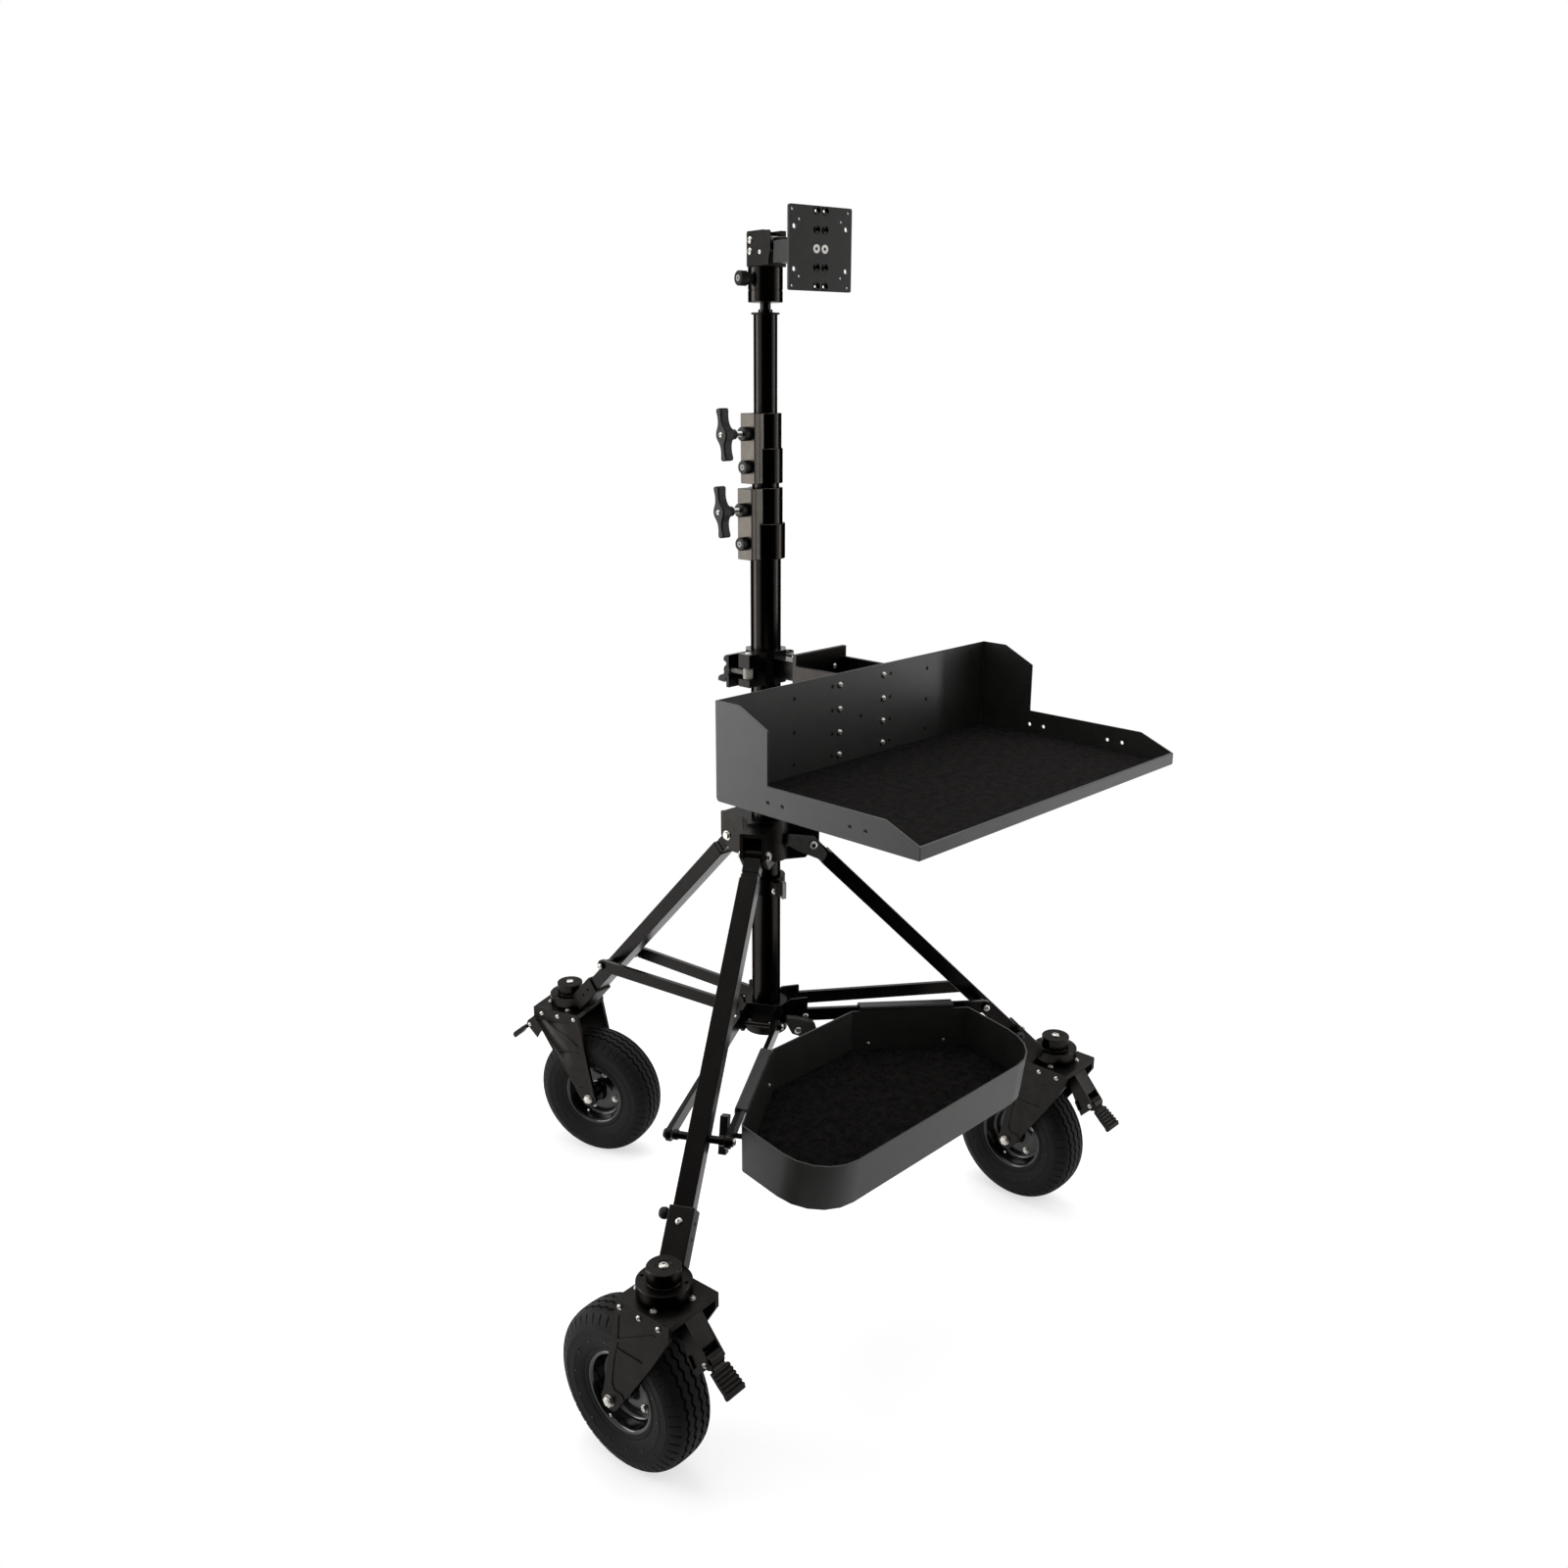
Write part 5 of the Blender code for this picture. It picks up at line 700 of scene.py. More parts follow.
def dress_tray_clamp():
    """The octagonal clamp with its hinge, swing bolt and wing nut."""
    place_softened("tray_clamp_front_body", "tray_clamp_front", 0.0008, 3, "tray_carrier", "black_casting",
                   LEG_COAT)
    pin_head = turned([(0.0, 1.0938), (0.0098, 1.0938), (0.0105, 1.0945), (0.0105, 1.0985),
                       (0.0096, 1.1000), (0.0, 1.1000)], 48)
    pin_head = moved(cut(pin_head, rod(0.0030, 1.0985, 1.11, sides=6)), MAST @ shift(0.050))
    place("tray_clamp_pin_head", pin_head, "tray_carrier", "grey_metal", CAST_ZINC)
    place_softened("tray_clamp_back_body", "tray_clamp_back", 0.0008, 3, "clamp_back", "black_casting",
                   LEG_COAT)
    bolt_x, bolt_y = -0.054, -0.014
    at_bolt = MAST @ shift(bolt_x, bolt_y, 1.080)
    along_bolt = turn(-90.0, "X")
    eye = turned([(0.0033, -0.0083), (0.0072, -0.0087), (0.0078, -0.0080), (0.008, -0.004), (0.008, 0.004),
                  (0.0078, 0.0080), (0.0072, 0.0087), (0.0033, 0.0083)], 48)
    pitch = 0.001
    one_turn = turned([(0.0, 0.0), (0.0036, 0.0), (0.004, 0.0004), (0.0036, pitch), (0.0, pitch)], 24)
    shank = moved(row_of(one_turn, 38, (0.0, 0.0, pitch), CAST_ZINC), shift(y=0.0072) @ along_bolt)
    place("tray_clamp_eye_bolt", moved(gathered(eye, shank), at_bolt), "swing_bolt", "bright_steel",
          CAST_ZINC, "tray_clamp_bolt")
    nut_start = 0.0346
    hub = turned([(0.0048, 0.0), (0.0080, 0.0), (0.0080, 0.0020), (0.0074, 0.0050), (0.0070, 0.0135),
                  (0.0048, 0.0137)], 40)
    outline = [(0.0056, 0.0020), (0.0170, 0.0070), (0.0210, 0.0140), (0.0205, 0.0225), (0.0130, 0.0235),
               (0.0090, 0.0140), (0.0056, 0.0130)]
    outline = rounded_polygon(outline, [0.0005, 0.004, 0.004, 0.003, 0.004, 0.004, 0.0005], 5)
    wings = [soften(prism([(side * x, z) for x, z in outline], -0.0042, 0.0042, "Y"), 0.0016, 3, 60.0)
             for side in (-1, 1)]
    nut = moved(gathered(hub, *wings), at_bolt @ shift(y=nut_start) @ along_bolt @ turn(-68.0, "Z"))
    place("tray_clamp_wing_body", nut, "wing_nut", "black_steel", NYLON, "tray_clamp_wing_nut")
    fasteners("tray_clamp_lug_screws", "tray_carrier", "button",
              [((bolt_x, bolt_y, 1.1105), (0, 0, 1), 0.0048)], MAST)


def dress_upper_tray():
    """Bracket, folded sheet tray with its drilled walls, and the felt on its floor."""
    place_softened("tray_bracket_body", "tray_bracket", 0.0009, 3, "tray_carrier", "black_casting", CAST_COAT)
    fasteners("tray_bracket_screws", "tray_carrier", "button", [
        ((x, -0.121, 1.095), (0, -1, 0), 0.0042) for x in (0.030, -0.030)], MAST)
    back_screws = [(x, z) for x in (-0.054, 0.046) for z in (0.9845, 1.0190, 1.0545, 1.0910)]
    back_holes = [(x, z) for x in (-0.152, 0.152) for z in (0.988, 1.036, 1.086)]
    back_holes += [(-0.006, 1.036), (0.266, 1.0935)]
    back_holes += [(x + math.copysign(0.0165, x), z) for x, z in back_screws]
    side_holes = [(y, 0.9855) for y in (-0.3045, -0.3310, -0.4490, -0.4750)]
    outline = [(-0.205, 0.967), (-0.562, 0.967), (-0.562, 0.985), (-0.506, 1.008), (-0.304, 1.008),
               (-0.304, 1.083), (-0.250, 1.109), (-0.205, 1.109)]
    outline = rounded_polygon(outline, [0.006, 0.0025, 0.0008, 0.004, 0.0012, 0.002, 0.002, 0.001])
    solid = soften(prism(outline, -0.3045, 0.3045, "X"), 0.0016, 4, 60.0)
    inside = soften(box((-0.302, -0.5595, 0.9695), (0.302, -0.2075, 1.15)), 0.0012, 3, 60.0)
    holes = [rod(0.0030, -0.215, -0.195, "Y", place_in_wall, 20) for place_in_wall in back_holes]
    holes += [rod(0.0030, -0.32, 0.32, "X", place_in_wall, 16) for place_in_wall in side_holes]
    # Dark discs set inside the back wall's holes: painted shade, standing in for the dark seen through them.
    hole_shade_discs = [rod(0.0031, -0.2066, -0.2056, "Y", place_in_wall, 20) for place_in_wall in back_holes]
    tray = cut(cut(solid, inside), *holes)
    place("upper_tray_sheet", moved(tray, MAST), "tray_carrier", "tray_sheet", SHEET_COAT, "upper_tray")
    place("upper_tray_plugs", moved(gathered(*hole_shade_discs), MAST), "tray_carrier", "black_plastic", RUBBER)
    fasteners("upper_tray_screws", "tray_carrier", "button",
              [((x, -0.2076, z), (0, -1, 0), 0.0050) for x, z in back_screws], MAST)
    place_softened("upper_tray_felt", "upper_tray_liner", 0.0008, 3, "tray_carrier", "black_felt", FELT)


# Hubs and levers

def ribbed_lever(node, matrix, face, ribs, width):
    """A lever with finger ribs on one face, each at a place and an angle."""
    shapes = [soften(from_cad(node), 0.0010, 3)]
    for x, z, angle in ribs:
        rib = soften(box((-width, -0.0009, -0.0009), (width, 0.0011, 0.0009)), 0.0004)
        shapes.append(moved(rib, matrix @ shift(x, face, z) @ turn(angle, "Y")))
    return gathered(*shapes)


def dress_upper_hub():
    """Upper hub with the lids over its ears, its hinge bolts and its lever."""
    lid = box((0.036, -0.0215, 0.8175), (0.0845, 0.0215, 0.8238))
    hub = join(from_cad("upper_hub"), *[moved(lid.copy(), radial(index)) for index in range(3)])
    place("upper_hub_body", soften(hub, 0.0008, 3), "mast", "black_casting", CAST_COAT, "upper_hub")
    covered_by_lever = (1, -1)
    bolts = []
    for index in range(3):
        sides = [side for side in (-1, 1) if (index, side) != covered_by_lever]
        bolts += carried(at_hinge(index), [((0.0, side * 0.0216, 0.0), (0, side, 0), 0.0066)
                                           for side in sides])
    fasteners("upper_hub_bolts", "mast", "hex", bolts)
    lever = ribbed_lever("upper_hub_lever", at_hinge(1), -0.0378,
                         [(-0.037, 0.016, -20), (-0.041, 0.010, -20), (-0.0435, 0.005, -20)], 0.004)
    # The lever's paler nylon is painted light.
    place("upper_hub_lever_body", lever, "upper_lever", "black_plastic", LIT_LEVER_NYLON, "upper_hub_lever")
    fasteners("upper_hub_lever_screw", "upper_lever", "button",
              [((0.0, -0.0382, 0.0), (0, -1, 0), 0.0068)], at_hinge(1))


def dress_collar():
    """The collar below the upper hub, with its catch lever and its bolt."""
    place_softened("collar_body", "column_collar", 0.0008, 3, "mast", "black_casting", CAST_COAT)
    place_softened("collar_lever_body", "collar_lever", 0.0012, 3, "collar_catch", "grey_metal", CAST_ZINC)
    fasteners("collar_bolts", "mast", "hex", [((0.041, -0.009, 0.711), (0, -1, 0), 0.0036)],
              MAST @ turn(-105.0, "Z"))


def dress_lower_hub():
    """Sliding hub with the flat face towards leg 1, the arms' bolts and its lever."""
    place_softened("lower_hub_body", "lower_hub", 0.0008, 3, "spreader_hub", "black_casting", CAST_COAT)
    outline = [(0.027, 0.4645), (0.012, 0.4605), (-0.012, 0.4605), (-0.027, 0.4645), (-0.027, 0.506),
               (0.027, 0.506)]
    outline = rounded_polygon(outline, [0.003, 0.012, 0.012, 0.003, 0.002, 0.002])
    face = soften(prism(outline, 0.0345, 0.0385, "X"), 0.0008, 3)
    place("lower_hub_face", moved(face, radial(0)), "spreader_hub", "black_casting", CAST_COAT)
    face_screws = [((0.0387, side * 0.0195, 0.473), (1, 0, 0), 0.0050) for side in (-1, 1)]
    bolts = carried(radial(0), face_screws)
    for index in range(3):
        bolts += carried(radial(index), [((0.058, side * 0.0426, 0.478), (0, side, 0), 0.0052)
                                         for side in (-1, 1)])
    fasteners("lower_hub_bolts", "spreader_hub", "button", bolts)
    at_lever = radial(1) @ shift(0.040, 0.0, 0.461)
    lever = ribbed_lever("lower_hub_lever", at_lever, -0.0568, [(-0.012, 0.019, 10), (-0.014, 0.015, 10)],
                         0.0035)
    # The lever's paler nylon is painted light.
    place("lower_hub_lever_body", lever, "hub_lever", "black_plastic", LIT_LEVER_NYLON, "lower_hub_lever")
    fasteners("lower_hub_lever_screw", "hub_lever", "button",
              [((0.0, -0.0572, 0.0), (0, -1, 0), 0.0060)], at_lever)


# Legs

def leg_shape():
    """Square tube with a narrower neck, a round hinge end and the rod of the spreader arms."""
    main = soften(box((0.045, -0.015, -0.013), (LEG_LENGTH - 0.077, 0.015, 0.013)), 0.0016, 4)
    inner = soften(box((0.095, -0.0125, -0.0105), (LEG_LENGTH + 0.1, 0.0125, 0.0105)), 0.001, 2)
    neck = soften(box((-0.018, -0.0140, -0.0105), (0.047, 0.0140, 0.0105)), 0.0014, 3)
    knuckle = soften(rod(0.014, -0.015, 0.015, "Y", sides=48), 0.0006, 2, 60.0)
    cross = rod(0.006, -0.0396, 0.0396, "Y", (ARM_ROD, 0.0), 32)
    sleeves = [soften(rod(0.0078, low, high, "Y", (ARM_ROD, 0.0), 32), 0.0004)
               for low, high in ((-0.0386, -0.0316), (0.0316, 0.0386))]
    body = join(cut(main, inner), neck, knuckle, cross, *sleeves)
    groove = cut(box((0.0335, -0.02, -0.02), (0.0375, 0.02, 0.02)),
                 box((0.03, -0.0126, -0.0092), (0.04, 0.0126, 0.0092)))
    return cut(body, rod(0.0043, -0.03, 0.03, "Y", sides=24), groove)


def mount_shape():
    """Sleeve with an oblique mouth, running into the round flange and cap above the swivel.

    It is drawn at the leg's hinge, where the floor lies at -HINGE_Z.
    """
    sleeve_end = LEG_LENGTH - 0.0595
    leg_end = LEG_LENGTH - 0.0767
    flange_foot = 0.312 - HINGE_Z
    below = flange_foot - 0.3545
    sleeve = soften(box((SLEEVE_START, -0.019, -0.017), (sleeve_end, 0.019, 0.017)), 0.0018, 3)
    trim = box((0.0, -0.04, below), (SWIVEL_RADIUS, 0.04, flange_foot))
    flange = turned([(0.0, 0.312), (0.0384, 0.312), (0.040, 0.3132), (0.040, 0.3302), (0.0390, 0.3312),
                     (0.0252, 0.3312), (0.0246, 0.3318), (0.0246, 0.3340), (0.0250, 0.3346),
                     (0.0250, 0.3520), (0.0240, 0.353), (0.0118, 0.353), (0.011, 0.3518), (0.0, 0.3518)])
    flange = moved(flange, shift(SWIVEL_REACH, 0.0, -HINGE_Z))
    body = join(cut(moved(sleeve, DOWN_LEG), trim), flange)
    bore = box((SLEEVE_START - 0.02, -0.0153, -0.0133), (leg_end, 0.0153, 0.0133))
    kingpin = rod(0.0083, below, 0.3483 - HINGE_Z, centre=(SWIVEL_REACH, 0.0))
    on_sleeve = [rod(0.0033, -0.03, -0.0143, "Y", PLUNGER, 16)]
    on_sleeve += [rod(0.0030, 0.014, 0.03, "Y", (SLEEVE_START + along, 0.0), 16) for along in (0.020, 0.042)]
    in_flange = [rod(0.0028, 0.3275 - HINGE_Z, 0.34 - HINGE_Z, centre=(SWIVEL_REACH, y), sides=16)
                 for y in (0.0325, -0.0325)]
    return cut(cut(body, moved(bore, DOWN_LEG)), kingpin, moved(gathered(*on_sleeve), DOWN_LEG), *in_flange)


def release_knob_shape():
    """Domed pull knob of the spring plunger."""
    profile = [(0.0, 0.0), (0.0045, 0.0), (0.0060, 0.0006), (0.0055, 0.0022), (0.0078, 0.0042),
               (0.0088, 0.0062), (0.009, 0.0085), (0.0087, 0.0112), (0.0076, 0.0140), (0.0055, 0.0160),
               (0.0028, 0.0169), (0.0, 0.017)]
    knob = moved(turned(profile, 48), turn(90.0, "X"))
    return moved(knob, DOWN_LEG @ shift(PLUNGER[0], -0.0193, PLUNGER[1]))


def dress_legs():
    """Three legs with caster mounts, plunger knobs and spreader arms."""
    leg = moved(leg_shape(), DOWN_LEG)
    mount = mount_shape()
    knob = release_knob_shape()
    rod_x, rod_z = ARM_ROD * math.cos(LEG_SLOPE), -ARM_ROD * math.sin(LEG_SLOPE)
    for index in range(3):
        number = index + 1
        hinge = at_hinge(index)
        body = f"leg_{number}"
        mount_node = f"caster_mount_{number}"
        place(f"leg_tube_{number}_body", moved(leg.copy(), hinge), body, "leg_aluminium", LEG_COAT,
              f"leg_tube_{number}")
        place(f"{mount_node}_body", moved(mount.copy(), hinge), body, "black_casting", CAST_COAT, mount_node)
        place(f"caster_release_{number}_body", moved(knob.copy(), hinge), f"release_{number}",
              "black_plastic", NYLON, f"caster_release_knob_{number}")
        fasteners(f"{mount_node}_cap_screw", body, "button",
                  [((SWIVEL_REACH, 0.0, 0.3519 - HINGE_Z), (0, 0, 1), 0.0072)], hinge)
        fasteners(f"{mount_node}_screws", body, "button",
                  [((LEG_LENGTH - 0.1165, 0.0, 0.0171), (0, 0, 1), 0.0054)], hinge @ DOWN_LEG)
        for side, outward in (("left", -1), ("right", 1)):
            node = f"spreader_arm_{number}_{side}"
            arm_body = f"arm_{number}_{side}"
            place_softened(f"{node}_body", node, 0.0010, 3, arm_body, "leg_aluminium", LEG_COAT)
            fasteners(f"{node}_bolt", arm_body, "button",
                      [((rod_x, outward * 0.0532, rod_z), (0, outward, 0), 0.0055)], hinge)


# Casters

def by_pedal(corners, radii, steps):
    """A rounded outline in the fork's frame, from corners given from the pedal's pivot."""
    points = [(PEDAL_PIVOT[0] + x, PEDAL_PIVOT[1] + z) for x, z in corners]
    return rounded_polygon(points, radii, steps)


def fork_shape(index):
    """The fork with its shallow cheek pockets, the ribs left between them and its solid brake bracket."""
    here = at_swivel(index)
    outline = [(0.0405, 0.2835), (-0.0700, 0.2835), (-0.0700, 0.2600), (-0.0200, 0.1800), (0.0270, 0.1260),
               (0.0400, 0.1490), (0.0560, 0.1490), (0.0600, 0.1620), (0.0530, 0.2050), (0.0455, 0.2320)]
    radii = [0.004, 0.001, 0.001, 0.001, 0.001, 0.004, 0.005, 0.006, 0.003, 0.003]
    outline = rounded_polygon(outline, radii, 4)
    ribs = ([(0.052, 0.2310), (0.052, 0.2370), (-0.028, 0.2830), (-0.028, 0.2795)],
            [(0.060, 0.2210), (0.060, 0.2245), (-0.001, 0.2245), (-0.001, 0.2220)])
    pockets = []
    for low, high in ((-0.06, -0.0488), (0.0488, 0.06)):
        pocket = prism(outline, low, high, "Y")
        for rib in ribs:
            pocket = cut(pocket, prism(rib, low - 0.01, high + 0.01, "Y"))
        pockets.append(moved(pocket, here))
    plate = moved(box((-0.056, -0.050, 0.2981), (0.046, 0.050, 0.3079)), here)
    fork = soften(cut(join(from_cad(f"caster_fork_{index + 1}"), plate), *pockets), 0.0005, 2)
    block = [(0.0420, 0.0570), (0.0340, 0.0500), (0.0085, 0.0200), (0.0090, 0.0125), (0.0140, 0.0035),
             (0.0225, -0.0120), (0.0420, 0.0220)]
    block = by_pedal(block, [0.001, 0.003, 0.003, 0.003, 0.004, 0.003, 0.001], 4)
    block = soften(prism(block, -0.0148, 0.0148, "Y"), 0.0012, 3, 60.0)
    shoe = [(0.0205, -0.0160), (0.0300, 0.0000), (0.0262, 0.0022), (0.0168, -0.0138)]
    shoe = soften(prism(by_pedal(shoe, [0.001] * 4, 3), -0.0205, 0.0205, "Y"), 0.0006, 2)
    return gathered(fork, moved(block, here), moved(shoe, here))


def pedal_shape():
    """Brake pedal with a thick tread of rounded ridges on a round hub, drawn at its pivot."""
    ridges, ridge_pitch = 6, 0.0064
    ridge = [(0.0026, 0.0012), (0.0020, 0.0028), (0.0008, 0.0036), (-0.0008, 0.0036), (-0.0020, 0.0028),
             (-0.0026, 0.0012)]
    outline = [(-0.0130, -0.0024), (-0.0140, 0.0012)]
    outline += [(x - 0.0175 - ridge_pitch * step, z) for step in range(ridges) for x, z in ridge]
    outline += [(-0.0545, 0.0008), (-0.0550, -0.0030), (-0.0540, -0.0072), (-0.0505, -0.0080),
                (-0.0460, -0.0058), (-0.0300, -0.0046), (-0.0200, -0.0030)]
    tread = soften(prism(outline, -0.0170, 0.0170, "Y"), 0.0008, 2, 60.0)
    link = soften(box((-0.0160, -0.0120, -0.0036), (0.0, 0.0120, 0.0030)), 0.0012, 3)
    hub = soften(rod(0.0105, -0.0128, 0.0128, "Y", sides=48), 0.0006, 2, 60.0)
    bore = rod(0.0033, -0.02, 0.02, "Y", sides=24)
    return moved(cut(join(hub, link, tread), bore), turn(-36.0, "Y"))


def rim_shape():
    """Pressed wheel centre with deep dishes, rolled flanges and a stepped hub, drawn around Z."""
    upper = [(0.0064, 0.0427), (0.0142, 0.0427), (0.0150, 0.0419), (0.0150, 0.0260), (0.0160, 0.0250),
             (0.0160, 0.0110), (0.0190, 0.0072), (0.0240, 0.0060), (0.0300, 0.0060), (0.0330, 0.0078),
             (0.0440, 0.0078), (0.0475, 0.0060), (0.0520, 0.0062), (0.0548, 0.0085), (0.0562, 0.0130),
             (0.0566, 0.0270), (0.0576, 0.0298), (0.0600, 0.0318), (0.0628, 0.0322), (0.0640, 0.0314),
             (0.0642, 0.0296), (0.0622, 0.0280)]
    return turned(upper + [(radius, -height) for radius, height in reversed(upper)])


def crown_point(share):
    """Radius and height on the tyre's crown, at a share of its half width."""
    bend = abs(share)
    height = 0.0398 * bend ** 0.96
    radius = WHEEL_RADIUS - 0.0002 - 0.0060 * bend ** 2.0 - 0.0198 * bend ** 6.0
    return radius, math.copysign(height, share)


def tread_point(kind, share, column):
    """Radius and height of a point of the tread, with its groove or lug cut in."""
    groove_depth, lug_depth, zigzag_reach = 0.0040, 0.0022, 0.050
    if kind in ("edge", "deep"):
        share += zigzag_reach * (1.0 - abs(4.0 * column - 2.0))
    radius, height = crown_point(share)
    if kind == "deep":
        radius -= groove_depth
    if kind == "lug" and 0.40 < column < 0.60:
        radius -= lug_depth
    return radius, height


def tyre_pitch(pitches):
    """One pitch of the tyre, around Z: zigzag grooves in the crown, lugs on the shoulders, ringed sides."""
    columns = [0.0, 0.125, 0.25, 0.375, 0.45, 0.55, 0.625, 0.75, 0.875, 1.0]
    side = [(0.0640, 0.0270), (0.0632, 0.0300), (0.0640, 0.0322), (0.0668, 0.0338), (0.0690, 0.0340),
            (0.0696, 0.0333), (0.0708, 0.0334), (0.0714, 0.0343), (0.0760, 0.0362), (0.0810, 0.0378),
            (0.0860, 0.0389), (0.0866, 0.0395), (0.0876, 0.0396), (0.0882, 0.0391), (0.0950, 0.0396),
            (0.0995, 0.0396), (0.1000, 0.0400), (0.1010, 0.0400), (0.1016, 0.0394), (0.1040, 0.0391)]
    crown = [(0.950, "plain"), (0.925, "lug"), (0.880, "lug"), (0.835, "lug"), (0.790, "lug"),
             (0.745, "lug"), (0.715, "plain"), (0.640, "plain"), (0.545, "edge"), (0.525, "deep"),
             (0.455, "deep"), (0.435, "edge"), (0.330, "plain"), (0.225, "edge"), (0.205, "deep"),
             (0.135, "deep"), (0.115, "edge"), (0.0, "plain")]
    crown += [(-share, kind) for share, kind in reversed(crown[:-1])]
    bm = bmesh.new()
    grid = []
    for column in columns:
        angle = 2.0 * math.pi * column / pitches
        around_section = side + [tread_point(kind, share, column) for share, kind in crown]
        around_section += [(radius, -height) for radius, height in reversed(side)]
        grid.append([bm.verts.new((radius * math.cos(angle), radius * math.sin(angle), height))
                     for radius, height in around_section])
    for left, right in zip(grid, grid[1:]):
        for index in range(len(left)):
            after = (index + 1) % len(left)
            bm.faces.new((left[index], left[after], right[after], right[index]))
    return to_mesh(bm, outwards=False)


def axle_shape():
    """Axle with a washer, a hex nut and a rounded end on each side, drawn along Y."""
    pin = turned([(0.0, -0.0575), (0.0050, -0.0575), (0.006, -0.0568), (0.006, 0.0568), (0.0050, 0.0575),
                  (0.0, 0.0575)], 32)
    washer = turned([(0.0, 0.0503), (0.0088, 0.0503), (0.009, 0.0506), (0.009, 0.0516), (0.0, 0.0516)], 40)
    nut = soften(turned([(0.0, 0.0516), (0.0088, 0.0516), (0.0088, 0.0560), (0.0, 0.0560)], 6), 0.0006)
    end = gathered(washer, nut)
    other_end = moved(end.copy(), turn(180.0, "X"))
    return moved(gathered(pin, other_end, end), turn(90.0, "X"))


def bolt_circle(radius, first_degrees):
    """Four points evenly around a circle, from the angle of the first."""
    angles = [math.radians(first_degrees + 90.0 * step) for step in range(4)]
    return [(radius * math.cos(angle), radius * math.sin(angle)) for angle in angles]


def dress_casters():
    """Forks, axles, wheels and pedals of the three casters."""
    pitches = 46
    tread = closed(ring_of(tyre_pitch(pitches), pitches, RUBBER))
    # Small gloss-black specks on each tyre side: painted shade standing in for vent holes.
    vent_shade_speck = rod(0.0014, 0.0370, 0.0393, centre=(0.0835, 0.0), sides=8)
    vent_shade_specks = ring_of(gathered(vent_shade_speck, moved(vent_shade_speck, turn(180.0, "X"))), 14, ENAMEL)
    rim = rim_shape()
    axle = axle_shape()
    pedal = pedal_shape()
    for index in range(3):
        number = index + 1
        here = at_swivel(index)
        hub = here @ shift(TRAIL, 0.0, WHEEL_RADIUS)
        on_wheel = hub @ turn(90.0, "X")
        fork = f"caster_fork_{number}"
        fork_body = f"fork_{number}"
        wheel_body = f"wheel_{number}"
        place(f"{fork}_body", fork_shape(index), fork_body, "black_steel", STEEL_COAT, fork)
        screws = [(x, 0.0501, 0.297, 0.0044) for x in (0.037, 0.0, -0.037)]
        screws += [(0.064, 0.0501, 0.1025, 0.0024), (-0.0905, 0.0171, 0.2467, 0.0042)]
        fasteners(f"{fork}_screws", fork_body, "button", [
            ((x, side * y, z), (0, side, 0), size) for side in (-1, 1) for x, y, z, size in screws], here)
        fasteners(f"{fork}_bolts", fork_body, "hex", [
            ((x, y, 0.3082), (0, 0, 1), 0.0042) for x, y in bolt_circle(0.0405, 23.0)], here)
        place(f"axle_{number}_body", moved(axle.copy(), hub), fork_body, "bright_steel", ZINC,
              f"axle_{number}")
        place(f"rim_{number}_body", moved(rim.copy(), on_wheel), wheel_body, "rim_enamel", ENAMEL,
              f"rim_{number}")
        place(f"tyre_{number}_body", moved(tread.copy(), on_wheel), wheel_body, "tyre_rubber", RUBBER,
              f"tyre_{number}")
        place(f"tyre_{number}_vents", moved(vent_shade_specks.copy(), on_wheel), wheel_body, "tyre_rubber", ENAMEL)
        fasteners(f"rim_{number}_bolts", wheel_body, "hex", [
            ((x, side * 0.0080, z), (0, side, 0), 0.0052) for side in (-1, 1)
            for x, z in bolt_circle(0.0385, 45.0 + 12.0 * index)], hub)
        pivot = here @ shift(PEDAL_PIVOT[0], 0.0, PEDAL_PIVOT[1])
        place(f"brake_pedal_{number}_body", moved(pedal.copy(), pivot), f"pedal_{number}", "black_steel",
              STEEL_COAT, f"brake_pedal_{number}")


# Lower tray

def dress_lower_tray():
    """Folded tray on the front arms, its felt, and its wing-shaped clamp knob."""
    place_softened("lower_tray_sheet", "lower_tray", 0.0007, 3, "tray", "tray_sheet", SHEET_COAT)
    place_softened("lower_tray_felt", "lower_tray_liner", 0.0008, 3, "tray", "black_felt", FELT)
    wall_slant = math.radians(31.893)
    right_wall = (-math.sin(wall_slant), -math.cos(wall_slant), 0.0)
    left_wall = (math.sin(wall_slant), -math.cos(wall_slant), 0.0)
    fasteners("lower_tray_screws", "tray", "button", [
        ((0.1215, -0.1935, 0.4144), right_wall, 0.0034), ((0.2399, -0.2672, 0.4045), right_wall, 0.0034),
        ((-0.1262, -0.1964, 0.4320), left_wall, 0.0034)])
    place_softened("lower_tray_knob_body", "lower_tray_knob", 0.0016, 4, "tray_knob", "black_plastic", NYLON)


dress_tubes()
dress_mast_clamps()
dress_head()
dress_monitor_plate()
dress_tray_clamp()
dress_upper_tray()
dress_upper_hub()
dress_collar()
dress_lower_hub()
dress_legs()
dress_casters()
dress_lower_tray()


# Studio

def matte(name, code):
    """A dull material of one colour, with its node tree and its shader."""
    material, tree, shader = new_material(name)
    shader.inputs["Base Color"].default_value = linear(code)
    shader.inputs["Roughness"].default_value = 0.9
    shader.inputs["Specular IOR Level"].default_value = 0.0
    return material, tree, shader


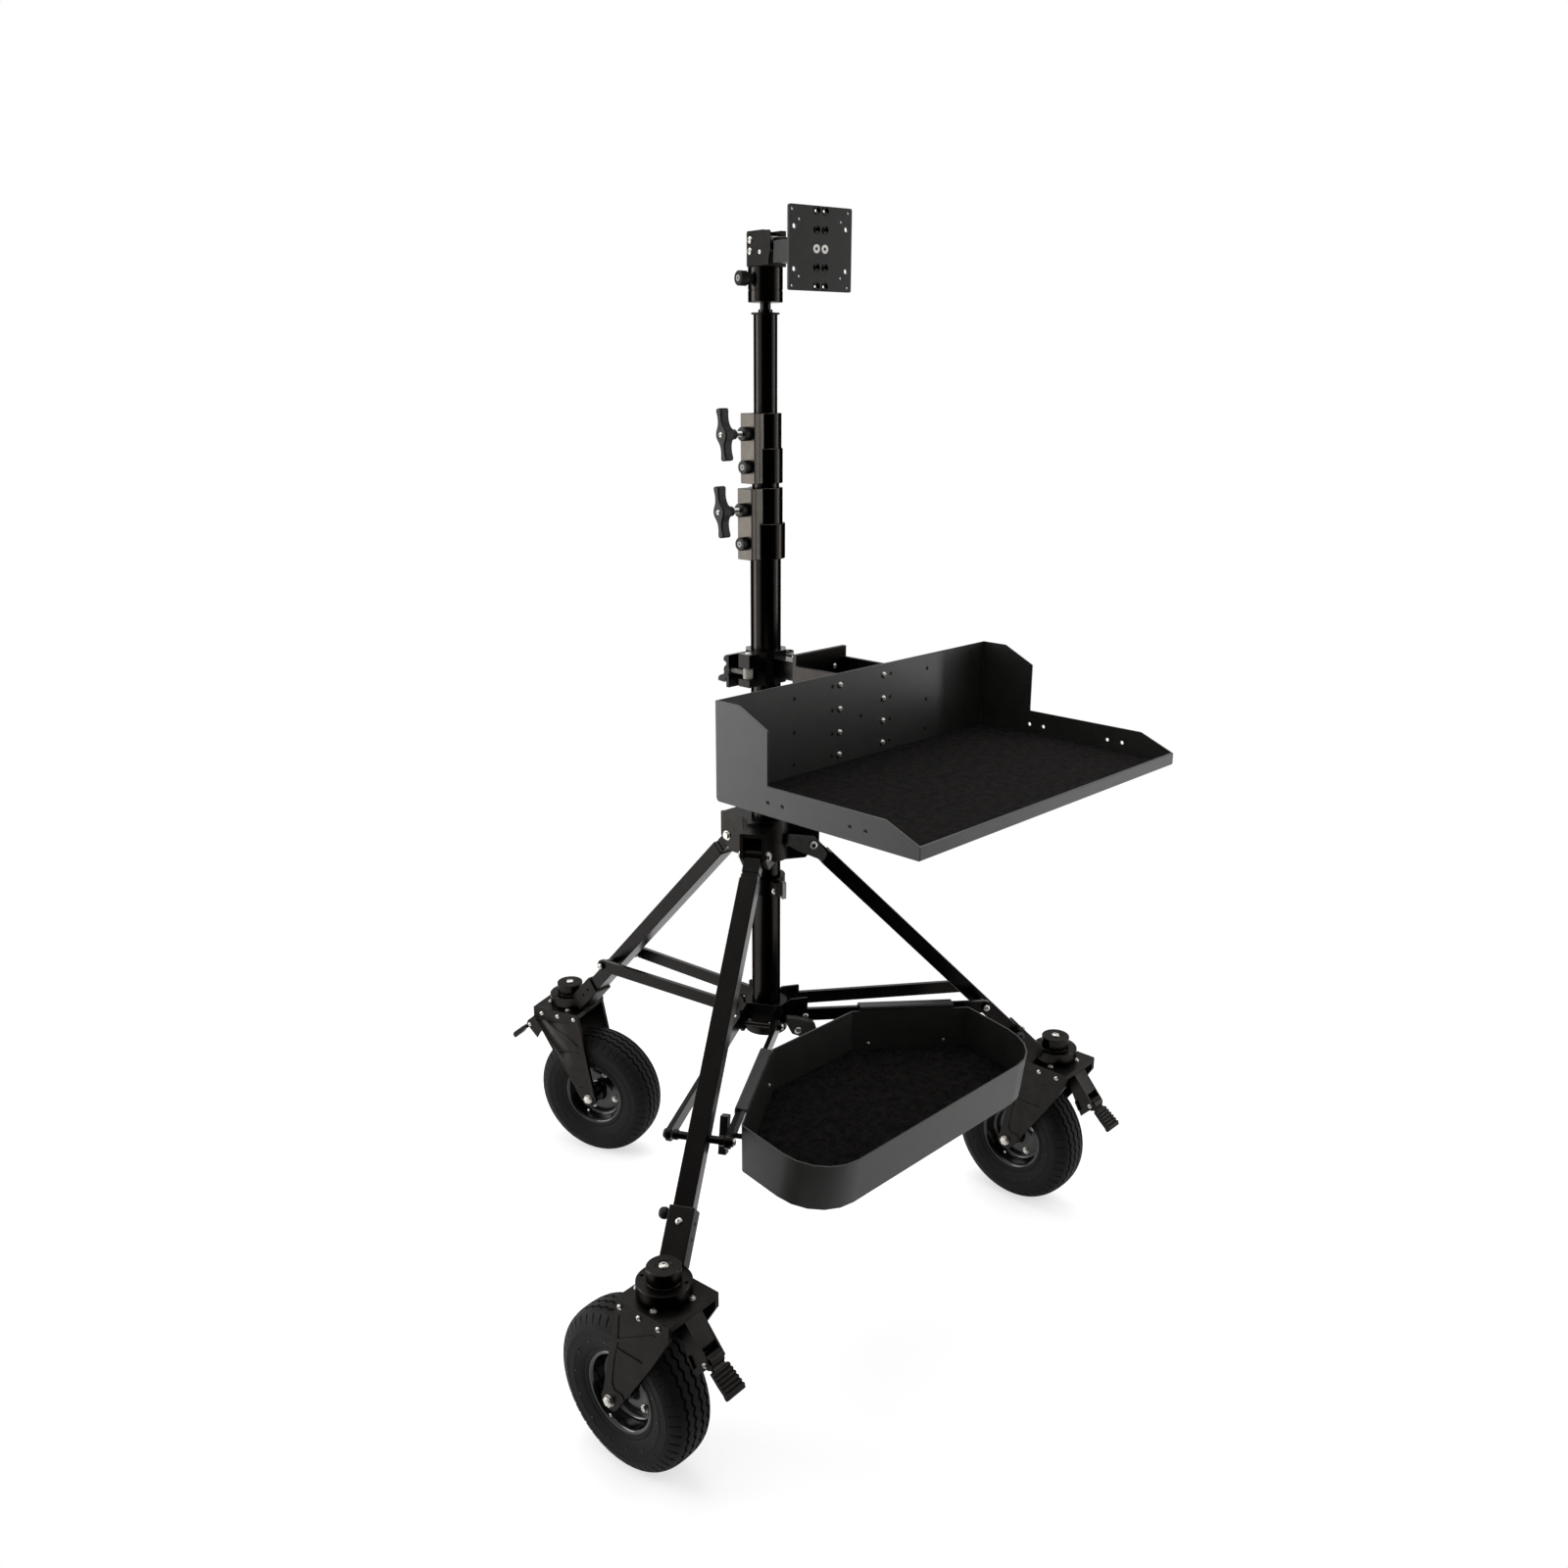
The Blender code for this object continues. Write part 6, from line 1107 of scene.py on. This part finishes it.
def make_floor():
    """A large white floor that keeps the stand's shadow and runs out to plain white."""
    plain_from, plain_to = 0.8, 1.15
    glow_share, lift_strength = 0.42, 0.16
    bm = bmesh.new()
    bmesh.ops.create_circle(bm, cap_ends=True, segments=ROUND, radius=6.0)
    mesh = to_mesh(bm, outwards=False)
    material, tree, shader = matte("white studio floor", "f4f4f4")
    where = add_node(tree, "ShaderNodeTexCoord")
    reach = add_node(tree, "ShaderNodeVectorMath", {0: where.outputs["Object"]}, operation="LENGTH")
    fade = add_node(tree, "ShaderNodeMapRange", {
        "Value": reach.outputs["Value"], "From Min": plain_from, "From Max": plain_to})
    white = add_node(tree, "ShaderNodeEmission", {"Color": WHITE, "Strength": 1.0})
    part = add_node(tree, "ShaderNodeMixShader", {
        0: glow_share, 1: shader.outputs[0], 2: white.outputs[0]})
    lift = add_node(tree, "ShaderNodeEmission", {"Color": WHITE, "Strength": lift_strength})
    shade = add_node(tree, "ShaderNodeAddShader", {0: part.outputs[0], 1: lift.outputs[0]})
    mixed = add_node(tree, "ShaderNodeMixShader", {
        0: fade.outputs["Result"], 1: shade.outputs[0], 2: white.outputs[0]})
    seen = add_node(tree, "ShaderNodeLightPath")
    ends = add_node(tree, "ShaderNodeMixShader", {
        0: seen.outputs["Is Camera Ray"], 1: shader.outputs[0], 2: mixed.outputs[0]})
    tree.links.new(ends.outputs[0], tree.nodes["Material Output"].inputs["Surface"])
    mesh.materials.append(material)
    add_object("floor", mesh)


def make_world():
    """White to the eye and to every reflection, a little weaker as a light."""
    light_strength = 0.8
    world = bpy.data.worlds.new("studio")
    bpy.context.scene.world = world
    world.use_nodes = True
    tree = world.node_tree
    tree.nodes.clear()
    fill = add_node(tree, "ShaderNodeBackground", {"Color": WHITE, "Strength": light_strength})
    white = add_node(tree, "ShaderNodeBackground", {"Color": WHITE, "Strength": 1.0})
    seen = add_node(tree, "ShaderNodeLightPath")
    mirrored = add_node(tree, "ShaderNodeMath", {
        0: seen.outputs["Is Camera Ray"], 1: seen.outputs["Is Glossy Ray"]}, operation="MAXIMUM")
    either = add_node(tree, "ShaderNodeMath", {
        0: mirrored.outputs[0], 1: seen.outputs["Is Transmission Ray"]}, operation="MAXIMUM")
    mixed = add_node(tree, "ShaderNodeMixShader", {
        0: either.outputs[0], 1: fill.outputs[0], 2: white.outputs[0]})
    add_node(tree, "ShaderNodeOutputWorld", {"Surface": mixed.outputs[0]})


def add_card(name, points, faces, material):
    """One card from its corners, which only reflections see."""
    mesh = bpy.data.meshes.new(name)
    mesh.from_pydata(points, [], faces)
    mesh.materials.append(material)
    card = add_object(name, mesh)
    card.visible_camera = False
    card.visible_diffuse = False
    card.visible_shadow = False


def make_cards():
    """Black cards around the stand, which the dark finishes mirror in place of the white studio."""
    material, tree, shader = matte("black studio card", "0a0a0a")
    height = 2.9
    degrees_per_face = 4
    walls = ((2.45, -176, -68), (3.9, -30, -6), (3.6, 97, 117))
    for number, (radius, start, end) in enumerate(walls):
        steps = (end - start) // degrees_per_face
        angles = [math.radians(start + (end - start) * step / steps) for step in range(steps + 1)]
        points = [(radius * math.cos(a), radius * math.sin(a), z) for a in angles for z in (0.0, height)]
        faces = [(2 * step, 2 * step + 2, 2 * step + 3, 2 * step + 1) for step in range(steps)]
        add_card(f"card_{number + 1}", points, faces, material)
    toward = Vector((-0.7211, -0.6928, 0.0))
    across = Vector((0.6928, -0.7211, 0.0))
    above_floor = Vector((0.0, 0.0, 0.002))
    points = [toward * out + across * side + above_floor
              for out, side in ((0.80, -1.0), (2.4, -1.0), (2.4, 1.6), (0.80, 1.6))]
    add_card("card_floor", points, [(0, 1, 2, 3)], material)


def soft_box(name, place_at, aim, size, power):
    """A rectangular studio lamp."""
    lamp = bpy.data.lights.new(name, "AREA")
    lamp.shape = "RECTANGLE"
    lamp.size, lamp.size_y = size
    lamp.energy = power
    item = add_object(name, lamp)
    direction = Vector(aim) - Vector(place_at)
    item.rotation_euler = direction.to_track_quat("-Z", "Y").to_euler()
    item.location = place_at


make_floor()
make_world()
make_cards()
soft_box("overhead soft box", (0.4, 0.3, 3.2), (0.0, -0.1, 0.3), (2.4, 2.4), 50.0)
soft_box("left soft box", (-1.98, 1.92, 1.25), (0.0, -0.1, 1.1), (0.95, 2.45), 42.0)
soft_box("right strip lamp", (1.90, -1.72, 1.30), (0.0, -0.1, 1.2), (0.20, 2.5), 14.0)

bpy.context.scene.view_settings.view_transform = "Standard"
